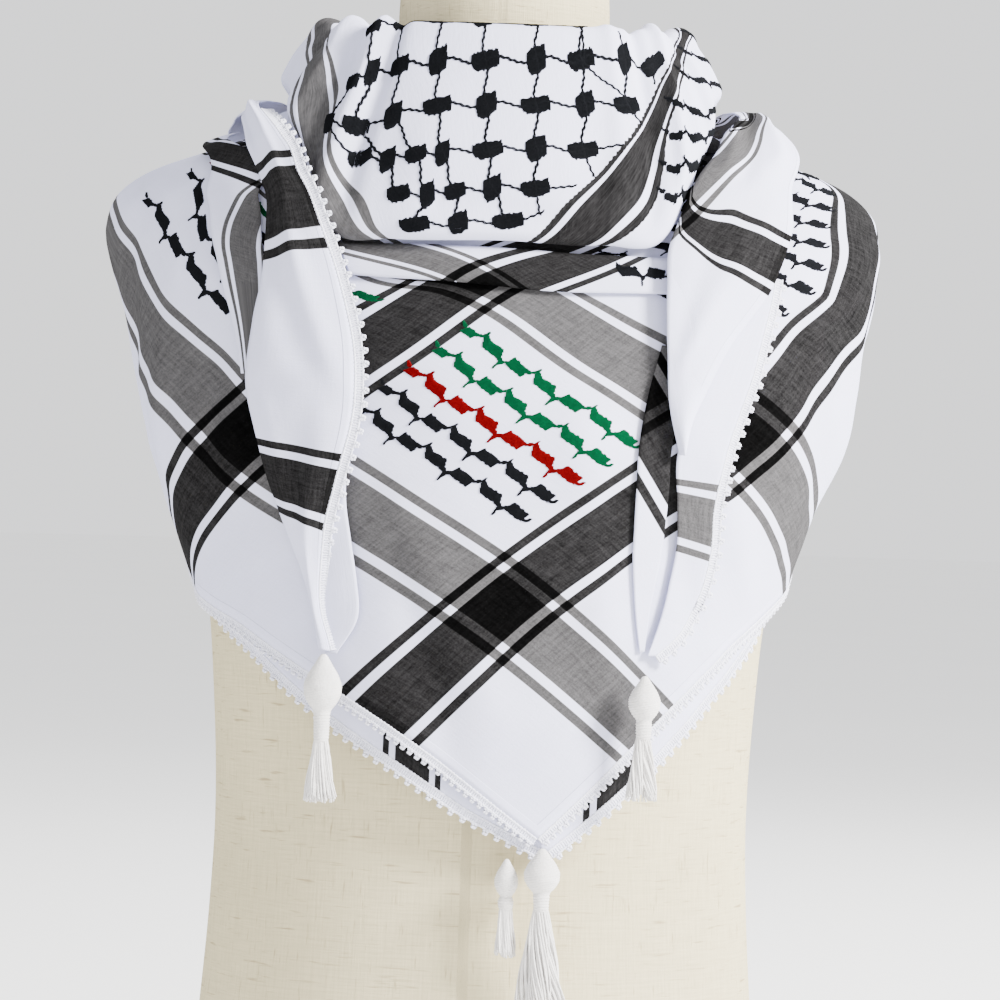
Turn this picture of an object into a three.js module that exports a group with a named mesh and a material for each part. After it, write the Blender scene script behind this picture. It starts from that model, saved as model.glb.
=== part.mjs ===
// A cotton keffiyeh worn on a limbless dress form. Millimetres, +Z up, front towards -Y,
// origin at the middle of the form's flat base.
//
// The square scarf is folded corner to corner. Its right-angled point hangs over the chest,
// the fold is rolled round the neck, and the two ends cross behind and hang over the
// shoulders. Every stretch of cloth is a thin wall that follows one smooth "drape": the
// surface that cloth takes over the form, given by its width and depth at each height.
// A place on it is (angle, height, lift): the angle is 0 at the middle of the front and
// +90 degrees at +X, and the lift is how far the cloth stands off the drape.
import * as THREE from "three";

// ---- driving dimensions -------------------------------------------------------------
const CLOTH = 2.0; // wall of each stretch of cloth
const SEAM = 0.3; // gap between pieces that meet edge to edge
const LACE_WIDTH = 9; // crochet edging beyond the hem
const LACE_WALL = 1.6;
const FORM_HEIGHT = 722;
const FORM_SIDES = 40;

// Drape: height, half width, depth to the front, depth to the back.
const DRAPE = [
  [120, 170, 125, 110],
  [220, 172, 127, 112],
  [300, 173, 129, 114],
  [350, 177, 131, 117],
  [400, 193, 133, 120],
  [450, 210, 134, 122],
  [500, 219, 129, 122],
  [540, 228, 117, 116],
  [565, 231, 104, 108],
  [585, 223, 92, 97],
  [600, 203, 84, 88],
  [615, 164, 80, 82],
  [630, 124, 78, 78],
  [650, 96, 76, 74],
  [690, 88, 75, 72],
];

// Dress form: height, half width, depth to the front, depth to the back.
const FORM = [
  [0, 172, 116, 112],
  [60, 169, 114, 110],
  [105, 165, 110, 106],
  [160, 161, 106, 102],
  [216, 159, 104, 100],
  [290, 162, 110, 101],
  [345, 167, 118, 105],
  [400, 177, 121, 109],
  [450, 191, 121, 111],
  [500, 202, 115, 110],
  [540, 208, 103, 103],
  [560, 207, 92, 96],
  [575, 198, 82, 87],
  [588, 181, 75, 79],
  [600, 157, 70, 74],
  [612, 125, 67, 70],
  [625, 94, 64, 66],
  [640, 74, 62, 62],
  [660, 65, 60, 60],
  [700, 63, 60, 60],
  [FORM_HEIGHT, 62, 59, 59],
];

// ---- curves through given rows ------------------------------------------------------

// Value of a smooth curve through rows of numbers at the given knots: a cubic between each
// two rows, whose slope at a row is the mean of its neighbours' slopes, nearer one first.
function curve(knots, rows, at) {
  const last = knots.length - 1;
  const slope = (i) => rows[i].map((v, k) => (rows[i + 1][k] - v) / (knots[i + 1] - knots[i]));
  const tangent = (i) => {
    if (i === 0) return slope(0);
    if (i === last) return slope(last - 1);
    const before = slope(i - 1);
    const after = slope(i);
    const weight = (knots[i] - knots[i - 1]) / (knots[i + 1] - knots[i - 1]);
    return before.map((v, k) => v * (1 - weight) + after[k] * weight);
  };
  let i = 0;
  while (i < last - 1 && at > knots[i + 1]) i += 1;
  const span = knots[i + 1] - knots[i];
  const t = (at - knots[i]) / span;
  const [from, to] = [tangent(i), tangent(i + 1)];
  return rows[i].map((v, k) => {
    const start = (2 * t ** 3 - 3 * t ** 2 + 1) * v + (t ** 3 - 2 * t ** 2 + t) * span * from[k];
    const end = (3 * t ** 2 - 2 * t ** 3) * rows[i + 1][k] + (t ** 3 - t ** 2) * span * to[k];
    return start + end;
  });
}

// Value on straight lines through the same rows, for an outline with a sharp corner.
function polyline(knots, rows, at) {
  let i = 0;
  while (i < knots.length - 2 && at > knots[i + 1]) i += 1;
  const t = (at - knots[i]) / (knots[i + 1] - knots[i]);
  return rows[i].map((v, k) => v * (1 - t) + rows[i + 1][k] * t);
}

// ---- the drape ----------------------------------------------------------------------

// Point of the oval section at this height, in the direction of the angle in radians.
function ovalPoint(table, angle, height) {
  const sizes = curve(table.map((row) => row[0]), table.map((row) => row.slice(1)), height);
  const [width, front, back] = sizes;
  const depth = Math.cos(angle) > 0 ? front : back;
  return new THREE.Vector3(width * Math.sin(angle), -depth * Math.cos(angle), height);
}

// Point on the drape, lifted off it along its own normal.
function drapePoint(degrees, height, lift) {
  const angle = THREE.MathUtils.degToRad(degrees);
  const round = 1e-3;
  const up = 0.1;
  const around = ovalPoint(DRAPE, angle + round, height).sub(ovalPoint(DRAPE, angle - round, height));
  const along = ovalPoint(DRAPE, angle, height + up).sub(ovalPoint(DRAPE, angle, height - up));
  const normal = around.cross(along).normalize();
  return ovalPoint(DRAPE, angle, height).addScaledVector(normal, lift);
}

// A stretch of cloth: nodes[row][column] = [angle, height, lift] at the given knots across
// and along, the lift left out where it is nothing, with an optional crown that lifts the
// middle. Returns spot(u, v), the angle, height and lift at those knots' values.
function stretch({ across, along, nodes, crown = 0, through = curve }) {
  const width = across[across.length - 1] - across[0];
  return (u, v) => {
    const rows = nodes.map((row) => through(across, row, u));
    const [angle, height, lift = 0] = through(along, rows, v);
    const t = (u - across[0]) / width;
    return [angle, height, lift + crown * 4 * t * (1 - t)];
  };
}

// ---- closed solids from grids -------------------------------------------------------

// Mesh from points and triangles, turned so that its faces point outwards.
function closedMesh(name, material, points, triangles) {
  const volume = triangles.reduce((sum, [a, b, c]) => {
    const turned = new THREE.Vector3().crossVectors(points[b], points[c]);
    return sum + points[a].dot(turned);
  }, 0);
  const facing = volume < 0 ? triangles.map(([a, b, c]) => [a, c, b]) : triangles;
  const geometry = new THREE.BufferGeometry();
  const places = points.flatMap((p) => [p.x, p.y, p.z]);
  geometry.setAttribute("position", new THREE.Float32BufferAttribute(places, 3));
  geometry.setIndex(facing.flat());
  geometry.computeVertexNormals();
  const mesh = new THREE.Mesh(geometry, material);
  mesh.name = name;
  return mesh;
}

// Values from start to end in equal steps, both included.
function steps(start, end, count) {
  return Array.from({ length: count + 1 }, (_, i) => start + ((end - start) * i) / count);
}

// Wall between two faces of the same grid. face(u, v, sunk) gives a point at a depth.
function wall(name, material, face, us, vs, thickness = CLOTH) {
  const grid = (sunk) => us.flatMap((u) => vs.map((v) => face(u, v, sunk)));
  const points = [...grid(0), ...grid(thickness)];
  const [m, n] = [us.length, vs.length];
  const at = (i, j, side) => side * m * n + i * n + j;
  const triangles = [];
  const quad = (a, b, c, d) => triangles.push([a, b, c], [a, c, d]);
  for (let i = 0; i < m - 1; i += 1) {
    for (let j = 0; j < n - 1; j += 1) {
      quad(at(i, j, 0), at(i + 1, j, 0), at(i + 1, j + 1, 0), at(i, j + 1, 0));
      quad(at(i, j, 1), at(i, j + 1, 1), at(i + 1, j + 1, 1), at(i + 1, j, 1));
    }
  }
  const rim = [];
  for (let i = 0; i < m - 1; i += 1) rim.push([i, 0]);
  for (let j = 0; j < n - 1; j += 1) rim.push([m - 1, j]);
  for (let i = m - 1; i > 0; i -= 1) rim.push([i, n - 1]);
  for (let j = n - 1; j > 0; j -= 1) rim.push([0, j]);
  rim.forEach(([i, j], k) => {
    const [p, q] = rim[(k + 1) % rim.length];
    quad(at(i, j, 0), at(i, j, 1), at(p, q, 1), at(p, q, 0));
  });
  return closedMesh(name, material, points, triangles);
}

// Strip of edging that carries a stretch on past its edge. edge(v) and inside(v) are spots
// on the edge and just inside it; the strip runs on in the same direction, at the edge's lift.
function edging(name, material, edge, inside, vs) {
  const face = (out, v, sunk) => {
    const [from, within] = [edge(v), inside(v)];
    const reach = drapePoint(...from).distanceTo(drapePoint(within[0], within[1], from[2]));
    const [angle, height] = from.map((value, i) => value + ((value - within[i]) * out) / reach);
    return drapePoint(angle, height, from[2] - sunk);
  };
  return wall(name, material, face, [SEAM, LACE_WIDTH], vs, LACE_WALL);
}

// ---- materials ----------------------------------------------------------------------

function fabric(colour, roughness = 0.9) {
  return new THREE.MeshStandardMaterial({ color: colour, roughness, metalness: 0 });
}

const whiteCotton = () => fabric(0xdfdfe8);
const netPatternCotton = () => fabric(0xb9bac4);
const crochetLace = () => fabric(0xf0f0f4);
const tasselThread = () => fabric(0xeceae6);
const linen = () => fabric(0xe0dbc6, 0.95);

// ---- dress form ---------------------------------------------------------------------

// Stacked oval rings with a flat base and a flat neck cap.
function dressForm() {
  const points = [];
  const heights = FORM.map((row) => row[0]);
  heights.forEach((height) => {
    for (let k = 0; k < FORM_SIDES; k += 1) {
      points.push(ovalPoint(FORM, (2 * Math.PI * k) / FORM_SIDES, height));
    }
  });
  const base = points.push(new THREE.Vector3(0, 0, 0)) - 1;
  const top = points.push(new THREE.Vector3(0, 0, FORM_HEIGHT)) - 1;
  const lastRing = (heights.length - 1) * FORM_SIDES;
  const triangles = [];
  for (let k = 0; k < FORM_SIDES; k += 1) {
    const next = (k + 1) % FORM_SIDES;
    for (let ring = 0; ring < heights.length - 1; ring += 1) {
      const [low, high] = [ring * FORM_SIDES, (ring + 1) * FORM_SIDES];
      triangles.push([low + k, low + next, high + next], [low + k, high + next, high + k]);
    }
    triangles.push([base, next, k], [top, lastRing + k, lastRing + next]);
  }
  return closedMesh("dress_form", linen(), points, triangles);
}

// ---- front drape --------------------------------------------------------------------

// Knots are distances over the cloth from its two hems: across from the hem that rises to
// the left of the view, along from the hem that rises to the right. The bottom point is 0, 0.
const FRONT = {
  across: [0, 88, 170, 253, 335, 420, 480, 560],
  along: [0, 110, 200, 290, 335, 375, 420, 465, 530, 610],
  nodes: [
    [[11, 217], [33, 278], [54, 326], [88, 372], [115, 430], [140, 505], [155, 560], [176, 586]],
    [[-20, 282], [3, 348], [23, 399], [43, 448], [64, 515], [92, 568], [128, 596], [154, 606]],
    [[-53, 330], [-20, 394], [0, 446], [18, 493], [33, 545], [56, 587], [98, 612], [126, 620]],
    [[-88, 362], [-43, 441], [-20, 491], [-3, 535], [10, 559], [38, 600], [70, 618], [94, 627]],
    [[-101, 392], [-54, 472], [-33, 513], [-16, 542], [-2, 566], [27, 602], [50, 621], [70, 630]],
    [[-112, 420], [-68, 502], [-41, 550], [-30, 578], [-14, 592], [14, 608], [35, 623], [50, 632]],
    [[-124, 460], [-80, 540], [-53, 587], [-48, 604], [-25, 611], [3, 616], [22, 626], [34, 634]],
    [[-135, 500], [-100, 578], [-82, 601], [-68, 613], [-40, 618], [-10, 622], [8, 629], [18, 636]],
    [[-150, 560], [-134, 594], [-118, 607], [-98, 617], [-65, 624], [-28, 629], [-8, 633], [2, 638]],
    [[-174, 588], [-158, 604], [-138, 617], [-116, 625], [-80, 630], [-44, 634], [-22, 637], [-12, 640]],
  ],
};

// ---- lower layer and folds of the chest ---------------------------------------------

// Strip of the lower layer: its hem on the left and right of the point, and 60 mm above it.
const LOWER_HEM = [
  [-72, 345],
  [-50, 317],
  [-31, 282],
  [-16, 257],
  [-3, 233],
  [13, 209],
  [26, 239],
  [38, 269],
  [51, 302],
  [65, 330],
  [78, 356],
];
const LOWER_LIFT = -4;
const LOWER_SHOWS = 60;

const LOWER = {
  across: [0, LOWER_SHOWS],
  along: LOWER_HEM.map((_, i) => i),
  nodes: LOWER_HEM.map(([angle, height]) => [
    [angle, height, LOWER_LIFT],
    [angle, height + LOWER_SHOWS, LOWER_LIFT],
  ]),
  through: polyline,
};

// Flat fold pressed out below the neck roll: top edge, then bottom edge, from left to right.
const TUCK = {
  across: [0, 1],
  along: [0, 1, 2, 3],
  nodes: [
    [[-23.2, 551, 3.6], [-21.6, 533, 3]],
    [[-9, 550, 4.5], [-8, 530, 3.5]],
    [[9, 548, 4.5], [8, 526, 3.5]],
    [[27, 547, 4.5], [27, 527, 3.5]],
  ],
  crown: 1,
};

// Pleat beside the left tail: outer edge, then inner edge, from the bottom up.
const PLEAT = {
  across: [0, 1],
  along: [0, 60, 115, 160, 200, 235],
  nodes: [
    [[-41.5, 476, 3.5], [-37, 476, 3]],
    [[-43, 511, 4.5], [-36, 511, 3.5]],
    [[-44.5, 545, 5.5], [-35.5, 545, 4]],
    [[-47, 576, 6], [-37, 576, 5]],
    [[-56, 600, 6.5], [-44, 601, 6]],
    [[-88, 614, 6], [-84, 618, 5]],
  ],
  crown: 0.5,
};

// ---- hanging ends -------------------------------------------------------------------

// Each end: left edge, then right edge as seen from the front, from the tip up, over the
// shoulder and round to the nape.
const LEFT_TAIL = {
  across: [0, 1],
  along: [0, 45, 85, 120, 165, 210, 250, 290, 330, 370, 400, 430, 480, 560],
  nodes: [
    [[-31.7, 321, 8], [-29.2, 320, 8]],
    [[-33.3, 350, 8], [-31.3, 350, 8]],
    [[-36, 385, 8], [-29, 386, 8]],
    [[-37.8, 412, 8], [-25.8, 413, 8]],
    [[-39, 446, 8], [-22, 446, 8]],
    [[-39.6, 476, 8], [-20.8, 477, 8]],
    [[-37.6, 506, 8], [-21.7, 507, 8]],
    [[-35, 538, 9], [-23.8, 541, 12]],
    [[-35.5, 578, 13], [-28, 575, 24]],
    [[-50, 606, 15], [-38.5, 603, 25]],
    [[-72, 618, 15], [-60, 618, 21]],
    [[-90, 618, 14], [-86, 628, 15]],
    [[-124, 607, 11], [-124, 633, 9]],
    [[-176, 595, 6], [-176, 640, 4]],
  ],
  crown: 3,
};

const LEFT_TAIL_UNDER = {
  across: [0, 1],
  along: [0, 40, 80, 110, 150, 200, 250, 300, 340, 375, 410, 440, 485],
  nodes: [
    [[-31, 318, 4], [-28.5, 318, 4]],
    [[-31, 338, 4], [-24.2, 338, 4]],
    [[-31, 362, 4], [-24, 361, 4]],
    [[-31, 384, 4], [-24.2, 384, 4]],
    [[-31, 406, 4], [-24.2, 406, 4]],
    [[-31, 440, 4], [-22.6, 440, 4]],
    [[-31, 484, 4], [-21.7, 484, 4]],
    [[-31, 518, 4], [-22, 518, 4]],
    [[-31, 550, 4], [-24, 551, 4]],
    [[-33, 579, 4], [-27.5, 580, 4]],
    [[-43, 606, 5], [-43, 616, 5]],
    [[-60, 619, 6], [-63, 628, 6]],
    [[-86, 623, 7], [-88, 632, 7]],
  ],
  crown: 0.8,
};

const RIGHT_TAIL = {
  across: [0, 1],
  along: [0, 18, 40, 70, 110, 150, 185, 220, 255, 285, 320, 370, 460],
  nodes: [
    [[30.3, 437, 9], [31.3, 437, 9]],
    [[28.4, 452, 9], [31.6, 454, 9]],
    [[27.1, 467, 9], [33.2, 470, 9]],
    [[25.9, 494, 10], [36.6, 496, 9]],
    [[24.7, 529, 12], [42.9, 531, 10]],
    [[24.9, 556, 16], [45.3, 561, 13]],
    [[30, 587, 20], [48, 586, 15]],
    [[43, 609, 20], [60, 604, 17]],
    [[65, 621, 19], [74, 614, 18]],
    [[88, 628, 17], [88, 617, 17]],
    [[110, 631, 13], [108, 609, 13]],
    [[134, 635, 10], [130, 601, 11]],
    [[190, 641, 10], [190, 592, 13]],
  ],
  crown: 4,
};

const RIGHT_TAIL_BORDER = {
  across: [0, 1],
  along: [0, 25, 50, 75, 97, 120, 147, 180, 210, 238, 255],
  nodes: [
    [[31.4, 322, 5], [33, 322, 5]],
    [[33.6, 342, 5], [38.8, 337, 5]],
    [[34.7, 362, 5], [42.2, 358, 5]],
    [[34.6, 386, 5], [42, 381, 5]],
    [[32.6, 410, 5], [40, 406, 5]],
    [[30.7, 432, 5], [39.3, 431, 5]],
    [[31, 458, 5], [40.9, 459, 5]],
    [[33.4, 485, 5], [42.8, 487, 5]],
    [[36.8, 509, 5], [43.8, 512, 5]],
    [[40.4, 526, 5], [44.2, 531, 5]],
    [[42.4, 536, 5], [44.2, 540, 5]],
  ],
};

const RIGHT_TAIL_UNDER = {
  across: [0, 1],
  along: [0, 28, 58, 90, 120, 150, 180],
  nodes: [
    [[30, 324, 2.7], [31, 324, 2.7]],
    [[28.2, 350, 2.7], [31.6, 350, 2.7]],
    [[26.2, 378, 2.7], [32, 378, 2.7]],
    [[24.7, 411, 2.7], [31, 411, 2.7]],
    [[23.8, 439, 2.7], [29.6, 439, 2.7]],
    [[24.3, 470, 2.7], [29.6, 470, 2.7]],
    [[25.6, 498, 2.7], [29.8, 498, 2.7]],
  ],
};

// ---- neck roll ----------------------------------------------------------------------

// Lower fold of the roll: degrees round the neck, then the drape's angle, height and lift.
// Level over the chest, it rises steeply beside the hanging ends and runs on to the nape.
const ROLL_FOLD = [
  [0, 0, 549, 10],
  [29, 15, 549, 10],
  [42, 23.5, 553, 9],
  [50, 27, 577, 9],
  [56.5, 32, 598, 9],
  [65, 49, 619, 9],
  [83, 80, 634, 9],
  [120, 120, 642, 8],
  [180, 180, 648, 8],
];

// Crest of the roll: half width, half depth and, at the front and the back, its height.
const CREST = { width: 107, depth: 84, front: 683, back: 698 };

// Section: share of the way down from the crest to the fold, and how far out it stands,
// from the inner lip over the crest and the belly to the tucked-in edge.
const ROLL_SECTION = [
  [0.12, -14],
  [0.03, -9],
  [0, -1],
  [0.25, 7],
  [0.55, 12],
  [0.8, 12],
  [0.97, 4],
  [0.99, -1],
  [0.955, -5],
];
const ROLL_KNOTS = [0, 0.06, 0.12, 0.33, 0.56, 0.76, 0.91, 0.96, 1];

// Point on the roll's outer face.
function rollFace(t, degrees) {
  const turned = Math.abs(degrees > 180 ? degrees - 360 : degrees);
  const side = degrees < 0 || degrees > 180 ? -1 : 1;
  const knots = ROLL_FOLD.map((row) => row[0]);
  const [angle, height, lift] = curve(knots, ROLL_FOLD.map((row) => row.slice(1)), turned);
  const fold = drapePoint(side * angle, height, lift);
  const round = THREE.MathUtils.degToRad(degrees);
  const outwards = new THREE.Vector3(Math.sin(round), -Math.cos(round), 0);
  const rise = CREST.front + ((CREST.back - CREST.front) * (1 - Math.cos(round))) / 2;
  const crest = new THREE.Vector3(CREST.width * outwards.x, CREST.depth * outwards.y, rise);
  const [down, out] = curve(ROLL_KNOTS, ROLL_SECTION, t);
  return crest.lerp(fold, down).addScaledVector(outwards, out);
}

// The same point sunk into the cloth along the roll's own normal.
const NORMAL_STEP = 0.004; // share of the section between the two points that give the normal
const NORMAL_TURN = 0.2; // degrees between them round the neck
function rollPoint(t, degrees, sunk = 0) {
  const [step, turn] = [NORMAL_STEP, NORMAL_TURN];
  const [low, high] = [Math.max(t - step, 0), Math.min(t + step, 1)];
  const along = rollFace(high, degrees).sub(rollFace(low, degrees));
  const around = rollFace(t, degrees + turn).sub(rollFace(t, degrees - turn));
  const normal = along.cross(around).normalize();
  return rollFace(t, degrees).addScaledVector(normal, -sunk);
}

const ROLL_JOIN = 96; // degrees from the front at which the front stretch meets the back one
const ROLL_GAP = 0.2; // degrees between the two

// ---- tassels ------------------------------------------------------------------------

// Wound head over a bound neck and a skirt of hanging threads, hanging down from its top.
function tassel(name, { x, y, top, headRadius, headHeight, skirtRadius, length }) {
  const neck = headRadius * 0.34;
  const profile = [
    [0, 0],
    [neck, -1],
    [headRadius * 0.8, -headHeight * 0.28],
    [headRadius, -headHeight * 0.55],
    [headRadius * 0.75, -headHeight * 0.85],
    [neck, -headHeight],
    [neck, -headHeight - 4],
    [skirtRadius * 0.75, -(headHeight + (length - headHeight) * 0.45)],
    [skirtRadius, -length],
    [0, -length],
  ];
  const outline = profile.reverse().map(([radius, height]) => new THREE.Vector2(radius, height));
  const mesh = new THREE.Mesh(new THREE.LatheGeometry(outline, 12), tasselThread());
  mesh.name = name;
  mesh.rotation.x = Math.PI / 2;
  mesh.position.set(x, y, top);
  return mesh;
}

const TASSELS = {
  tassel_left: { x: -90, y: -127.5, top: 320, headRadius: 11, headHeight: 37, skirtRadius: 9, length: 84 },
  tassel_right: { x: 91, y: -129, top: 315, headRadius: 9.5, headHeight: 33, skirtRadius: 9, length: 80 },
  tassel_front: { x: 37, y: -123, top: 201, headRadius: 12.5, headHeight: 31, skirtRadius: 15, length: 92 },
  tassel_rear: { x: 17, y: -116, top: 201, headRadius: 7, headHeight: 22, skirtRadius: 7, length: 62 },
};

// ---- the whole piece ----------------------------------------------------------------

const scarf = new THREE.Group();

function addStretch(name, material, shape, us, vs) {
  const spot = stretch(shape);
  const face = (u, v, sunk) => {
    const [angle, height, lift] = spot(u, v);
    return drapePoint(angle, height, lift - sunk);
  };
  scarf.add(wall(name, material, face, us, vs));
}

// Lace along the first or last column of a stretch.
function addLaceAlong(name, shape, column, vs) {
  const spot = stretch(shape);
  const [first, last] = [shape.across[0], shape.across[shape.across.length - 1]];
  const edgeAt = column === "last" ? last : first;
  const insideAt = edgeAt + (column === "last" ? -0.04 : 0.04) * (last - first);
  scarf.add(edging(name, crochetLace(), (v) => spot(edgeAt, v), (v) => spot(insideAt, v), vs));
}

// Lace along the first row of a stretch.
function addLaceAcross(name, shape, us) {
  const spot = stretch(shape);
  const start = shape.along[0];
  const insideAt = start + 0.04 * (shape.along[1] - start);
  scarf.add(edging(name, crochetLace(), (u) => spot(u, start), (u) => spot(u, insideAt), us));
}

scarf.add(dressForm());

const overFront = [steps(0, 560, 24), steps(0, 610, 27)];
addStretch("front_drape", whiteCotton(), FRONT, ...overFront);
addLaceAlong("lace_drape_left", FRONT, "first", overFront[1]);
addLaceAcross("lace_drape_right", FRONT, overFront[0]);

addStretch("under_layer", whiteCotton(), LOWER, steps(0, LOWER_SHOWS, 2), steps(0, 10, 20));
const point = 5; // where the lower hem turns, in the knots of LOWER
const corner = 0.02;
const upToPoint = steps(0, point, 10).map((v) => Math.min(v, point - corner));
const pastPoint = steps(point, 10, 10).map((v) => Math.max(v, point + corner));
addLaceAlong("lace_under_left", LOWER, "first", upToPoint);
addLaceAlong("lace_under_right", LOWER, "first", pastPoint);

addStretch("tuck_fold", netPatternCotton(), TUCK, steps(0, 1, 3), steps(0, 3, 9));
addStretch("shoulder_fold", whiteCotton(), PLEAT, steps(0, 1, 3), steps(0, 235, 12));

addStretch("left_tail", whiteCotton(), LEFT_TAIL, steps(0, 1, 4), steps(0, 560, 30));
addLaceAlong("lace_left_tail", LEFT_TAIL, "last", steps(0, 392, 21));
addStretch("left_tail_under", whiteCotton(), LEFT_TAIL_UNDER, steps(0, 1, 3), steps(0, 485, 24));

addStretch("right_tail", whiteCotton(), RIGHT_TAIL, steps(0, 1, 5), steps(0, 460, 28));
addStretch("right_tail_border", whiteCotton(), RIGHT_TAIL_BORDER, steps(0, 1, 2), steps(0, 255, 16));
addLaceAlong("lace_right_tail", RIGHT_TAIL_BORDER, "last", steps(0, 255, 16));
addStretch("right_tail_under", whiteCotton(), RIGHT_TAIL_UNDER, steps(0, 1, 2), steps(0, 180, 12));

const rollDown = ROLL_KNOTS.flatMap((t, i) => (i === 0 ? [t] : [(t + ROLL_KNOTS[i - 1]) / 2, t]));
const frontTurns = steps(ROLL_GAP - ROLL_JOIN, ROLL_JOIN - ROLL_GAP, 28);
const backTurns = steps(ROLL_JOIN, 360 - ROLL_JOIN, 16);
scarf.add(wall("neck_roll_front", netPatternCotton(), rollPoint, rollDown, frontTurns));
scarf.add(wall("neck_roll_back", netPatternCotton(), rollPoint, rollDown, backTurns));

Object.entries(TASSELS).forEach(([name, sizes]) => scarf.add(tassel(name, sizes)));

export default scarf;
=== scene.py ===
"""Square cotton keffiyeh folded to a triangle and worn round a limbless linen dress form.

Every stretch of cloth follows one smooth drape, the surface the cloth takes over the form.
A place on it is (angle, height, lift): degrees from the middle of the front towards +X,
millimetres above the base, and millimetres that the cloth stands off the drape. The cloth's
own UV map holds the distances from its two hems in metres, so the woven bands are one rule.
"""

import logging  # noqa: E402
import math  # noqa: E402
from collections.abc import Callable  # noqa: E402
from dataclasses import dataclass, field  # noqa: E402
from enum import Enum  # noqa: E402

import bpy  # noqa: E402
import numpy as np  # noqa: E402
from mathutils import Matrix  # noqa: E402


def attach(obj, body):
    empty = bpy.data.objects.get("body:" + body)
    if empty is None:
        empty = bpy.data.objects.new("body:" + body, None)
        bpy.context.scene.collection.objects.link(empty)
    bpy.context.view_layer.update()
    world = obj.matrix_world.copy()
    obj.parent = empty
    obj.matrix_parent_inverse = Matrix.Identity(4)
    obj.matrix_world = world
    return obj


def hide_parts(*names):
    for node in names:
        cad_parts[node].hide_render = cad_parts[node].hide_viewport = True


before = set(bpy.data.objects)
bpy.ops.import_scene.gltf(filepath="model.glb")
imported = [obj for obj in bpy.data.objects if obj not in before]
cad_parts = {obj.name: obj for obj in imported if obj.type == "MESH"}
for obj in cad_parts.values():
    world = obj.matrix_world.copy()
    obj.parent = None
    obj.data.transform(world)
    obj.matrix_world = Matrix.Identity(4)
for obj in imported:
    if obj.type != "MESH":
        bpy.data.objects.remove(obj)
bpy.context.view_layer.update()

LOG = logging.getLogger("keffiyeh")
Socket = bpy.types.NodeSocket
Colour = tuple[float, float, float]
Rule = Callable[[np.ndarray, np.ndarray, np.ndarray], np.ndarray]
Places = Callable[[np.ndarray], np.ndarray]
MM = 0.001
BODY = "root"
CLOTH_UV = "cloth"
CLOTH_WALL = 0.9  # thickness of the woven cloth, mm

# Drape: height, half width, depth to the front, depth to the back, mm.
DRAPE = np.array(
    [
        [120, 170, 125, 110],
        [220, 172, 127, 112],
        [300, 173, 129, 114],
        [350, 177, 131, 117],
        [400, 193, 133, 120],
        [450, 210, 134, 122],
        [500, 219, 129, 122],
        [540, 228, 117, 116],
        [565, 231, 104, 108],
        [585, 223, 92, 97],
        [600, 203, 84, 88],
        [615, 164, 80, 82],
        [630, 124, 78, 78],
        [650, 96, 76, 74],
        [690, 88, 75, 72],
    ],
    float,
)

# Dress form: height, half width, depth to the front, depth to the back, mm.
FORM = np.array(
    [
        [0, 172, 116, 112],
        [60, 169, 114, 110],
        [105, 165, 110, 106],
        [160, 161, 106, 102],
        [216, 159, 104, 100],
        [290, 162, 110, 101],
        [345, 167, 118, 105],
        [400, 177, 121, 109],
        [450, 191, 121, 111],
        [500, 202, 115, 110],
        [540, 208, 103, 103],
        [560, 207, 92, 96],
        [575, 198, 82, 87],
        [588, 181, 75, 79],
        [600, 157, 70, 74],
        [612, 125, 67, 70],
        [625, 94, 64, 66],
        [640, 74, 62, 62],
        [660, 65, 60, 60],
        [700, 63, 60, 60],
        [722, 62, 59, 59],
    ],
    float,
)


# ---- curves and the drape ------------------------------------------------------------


def curve(knots: np.ndarray, rows: np.ndarray, at: np.ndarray) -> np.ndarray:
    """Cubic through rows of numbers at the knots.

    Between two knots the value is start*(2t^3-3t^2+1) + end*(3t^2-2t^3) plus the two end
    slopes times (t^3-2t^2+t) and (t^3-t^2); a slope is the weighted mean of its neighbours'.

    Args:
        knots: K rising numbers.
        rows: (K, C) rows, or (K, P, C) with a row of its own for each place.
        at: P places.

    Returns:
        (P, C) values.
    """
    knots = np.asarray(knots, float)
    rows = np.asarray(rows, float)
    if rows.ndim == 2:
        rows = rows[:, None, :]
    gaps = np.diff(knots)
    slopes = np.diff(rows, axis=0) / gaps[:, None, None]
    tangents = np.concatenate([slopes[:1], slopes])
    share = (gaps[:-1] / (gaps[:-1] + gaps[1:]))[:, None, None]
    tangents[1:-1] = slopes[:-1] * (1 - share) + slopes[1:] * share
    index = np.clip(np.searchsorted(knots, at, side="right") - 1, 0, len(knots) - 2)
    place = np.arange(len(at)) if rows.shape[1] > 1 else np.zeros(len(at), int)
    span = gaps[index]
    t = ((at - knots[index]) / span)[:, None]
    span = span[:, None]
    low, high = rows[index, place], rows[index + 1, place]
    leave, arrive = tangents[index, place] * span, tangents[index + 1, place] * span
    inside = (
        low * (2 * t**3 - 3 * t**2 + 1)
        + high * (3 * t**2 - 2 * t**3)
        + leave * (t**3 - 2 * t**2 + t)
        + arrive * (t**3 - t**2)
    )
    return np.where(t < 0, low + leave * t, np.where(t > 1, high + arrive * (t - 1), inside))


def polyline(knots: np.ndarray, rows: np.ndarray, at: np.ndarray) -> np.ndarray:
    """Straight lines through rows of numbers at the knots.

    Args:
        knots: K rising numbers.
        rows: rows as for curve.
        at: P places.

    Returns:
        (P, C) values.
    """
    knots = np.asarray(knots, float)
    rows = np.asarray(rows, float)
    if rows.ndim == 2:
        rows = rows[:, None, :]
    index = np.clip(np.searchsorted(knots, at, side="right") - 1, 0, len(knots) - 2)
    place = np.arange(len(at)) if rows.shape[1] > 1 else np.zeros(len(at), int)
    t = ((at - knots[index]) / np.diff(knots)[index])[:, None]
    return rows[index, place] * (1 - t) + rows[index + 1, place] * t


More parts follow.
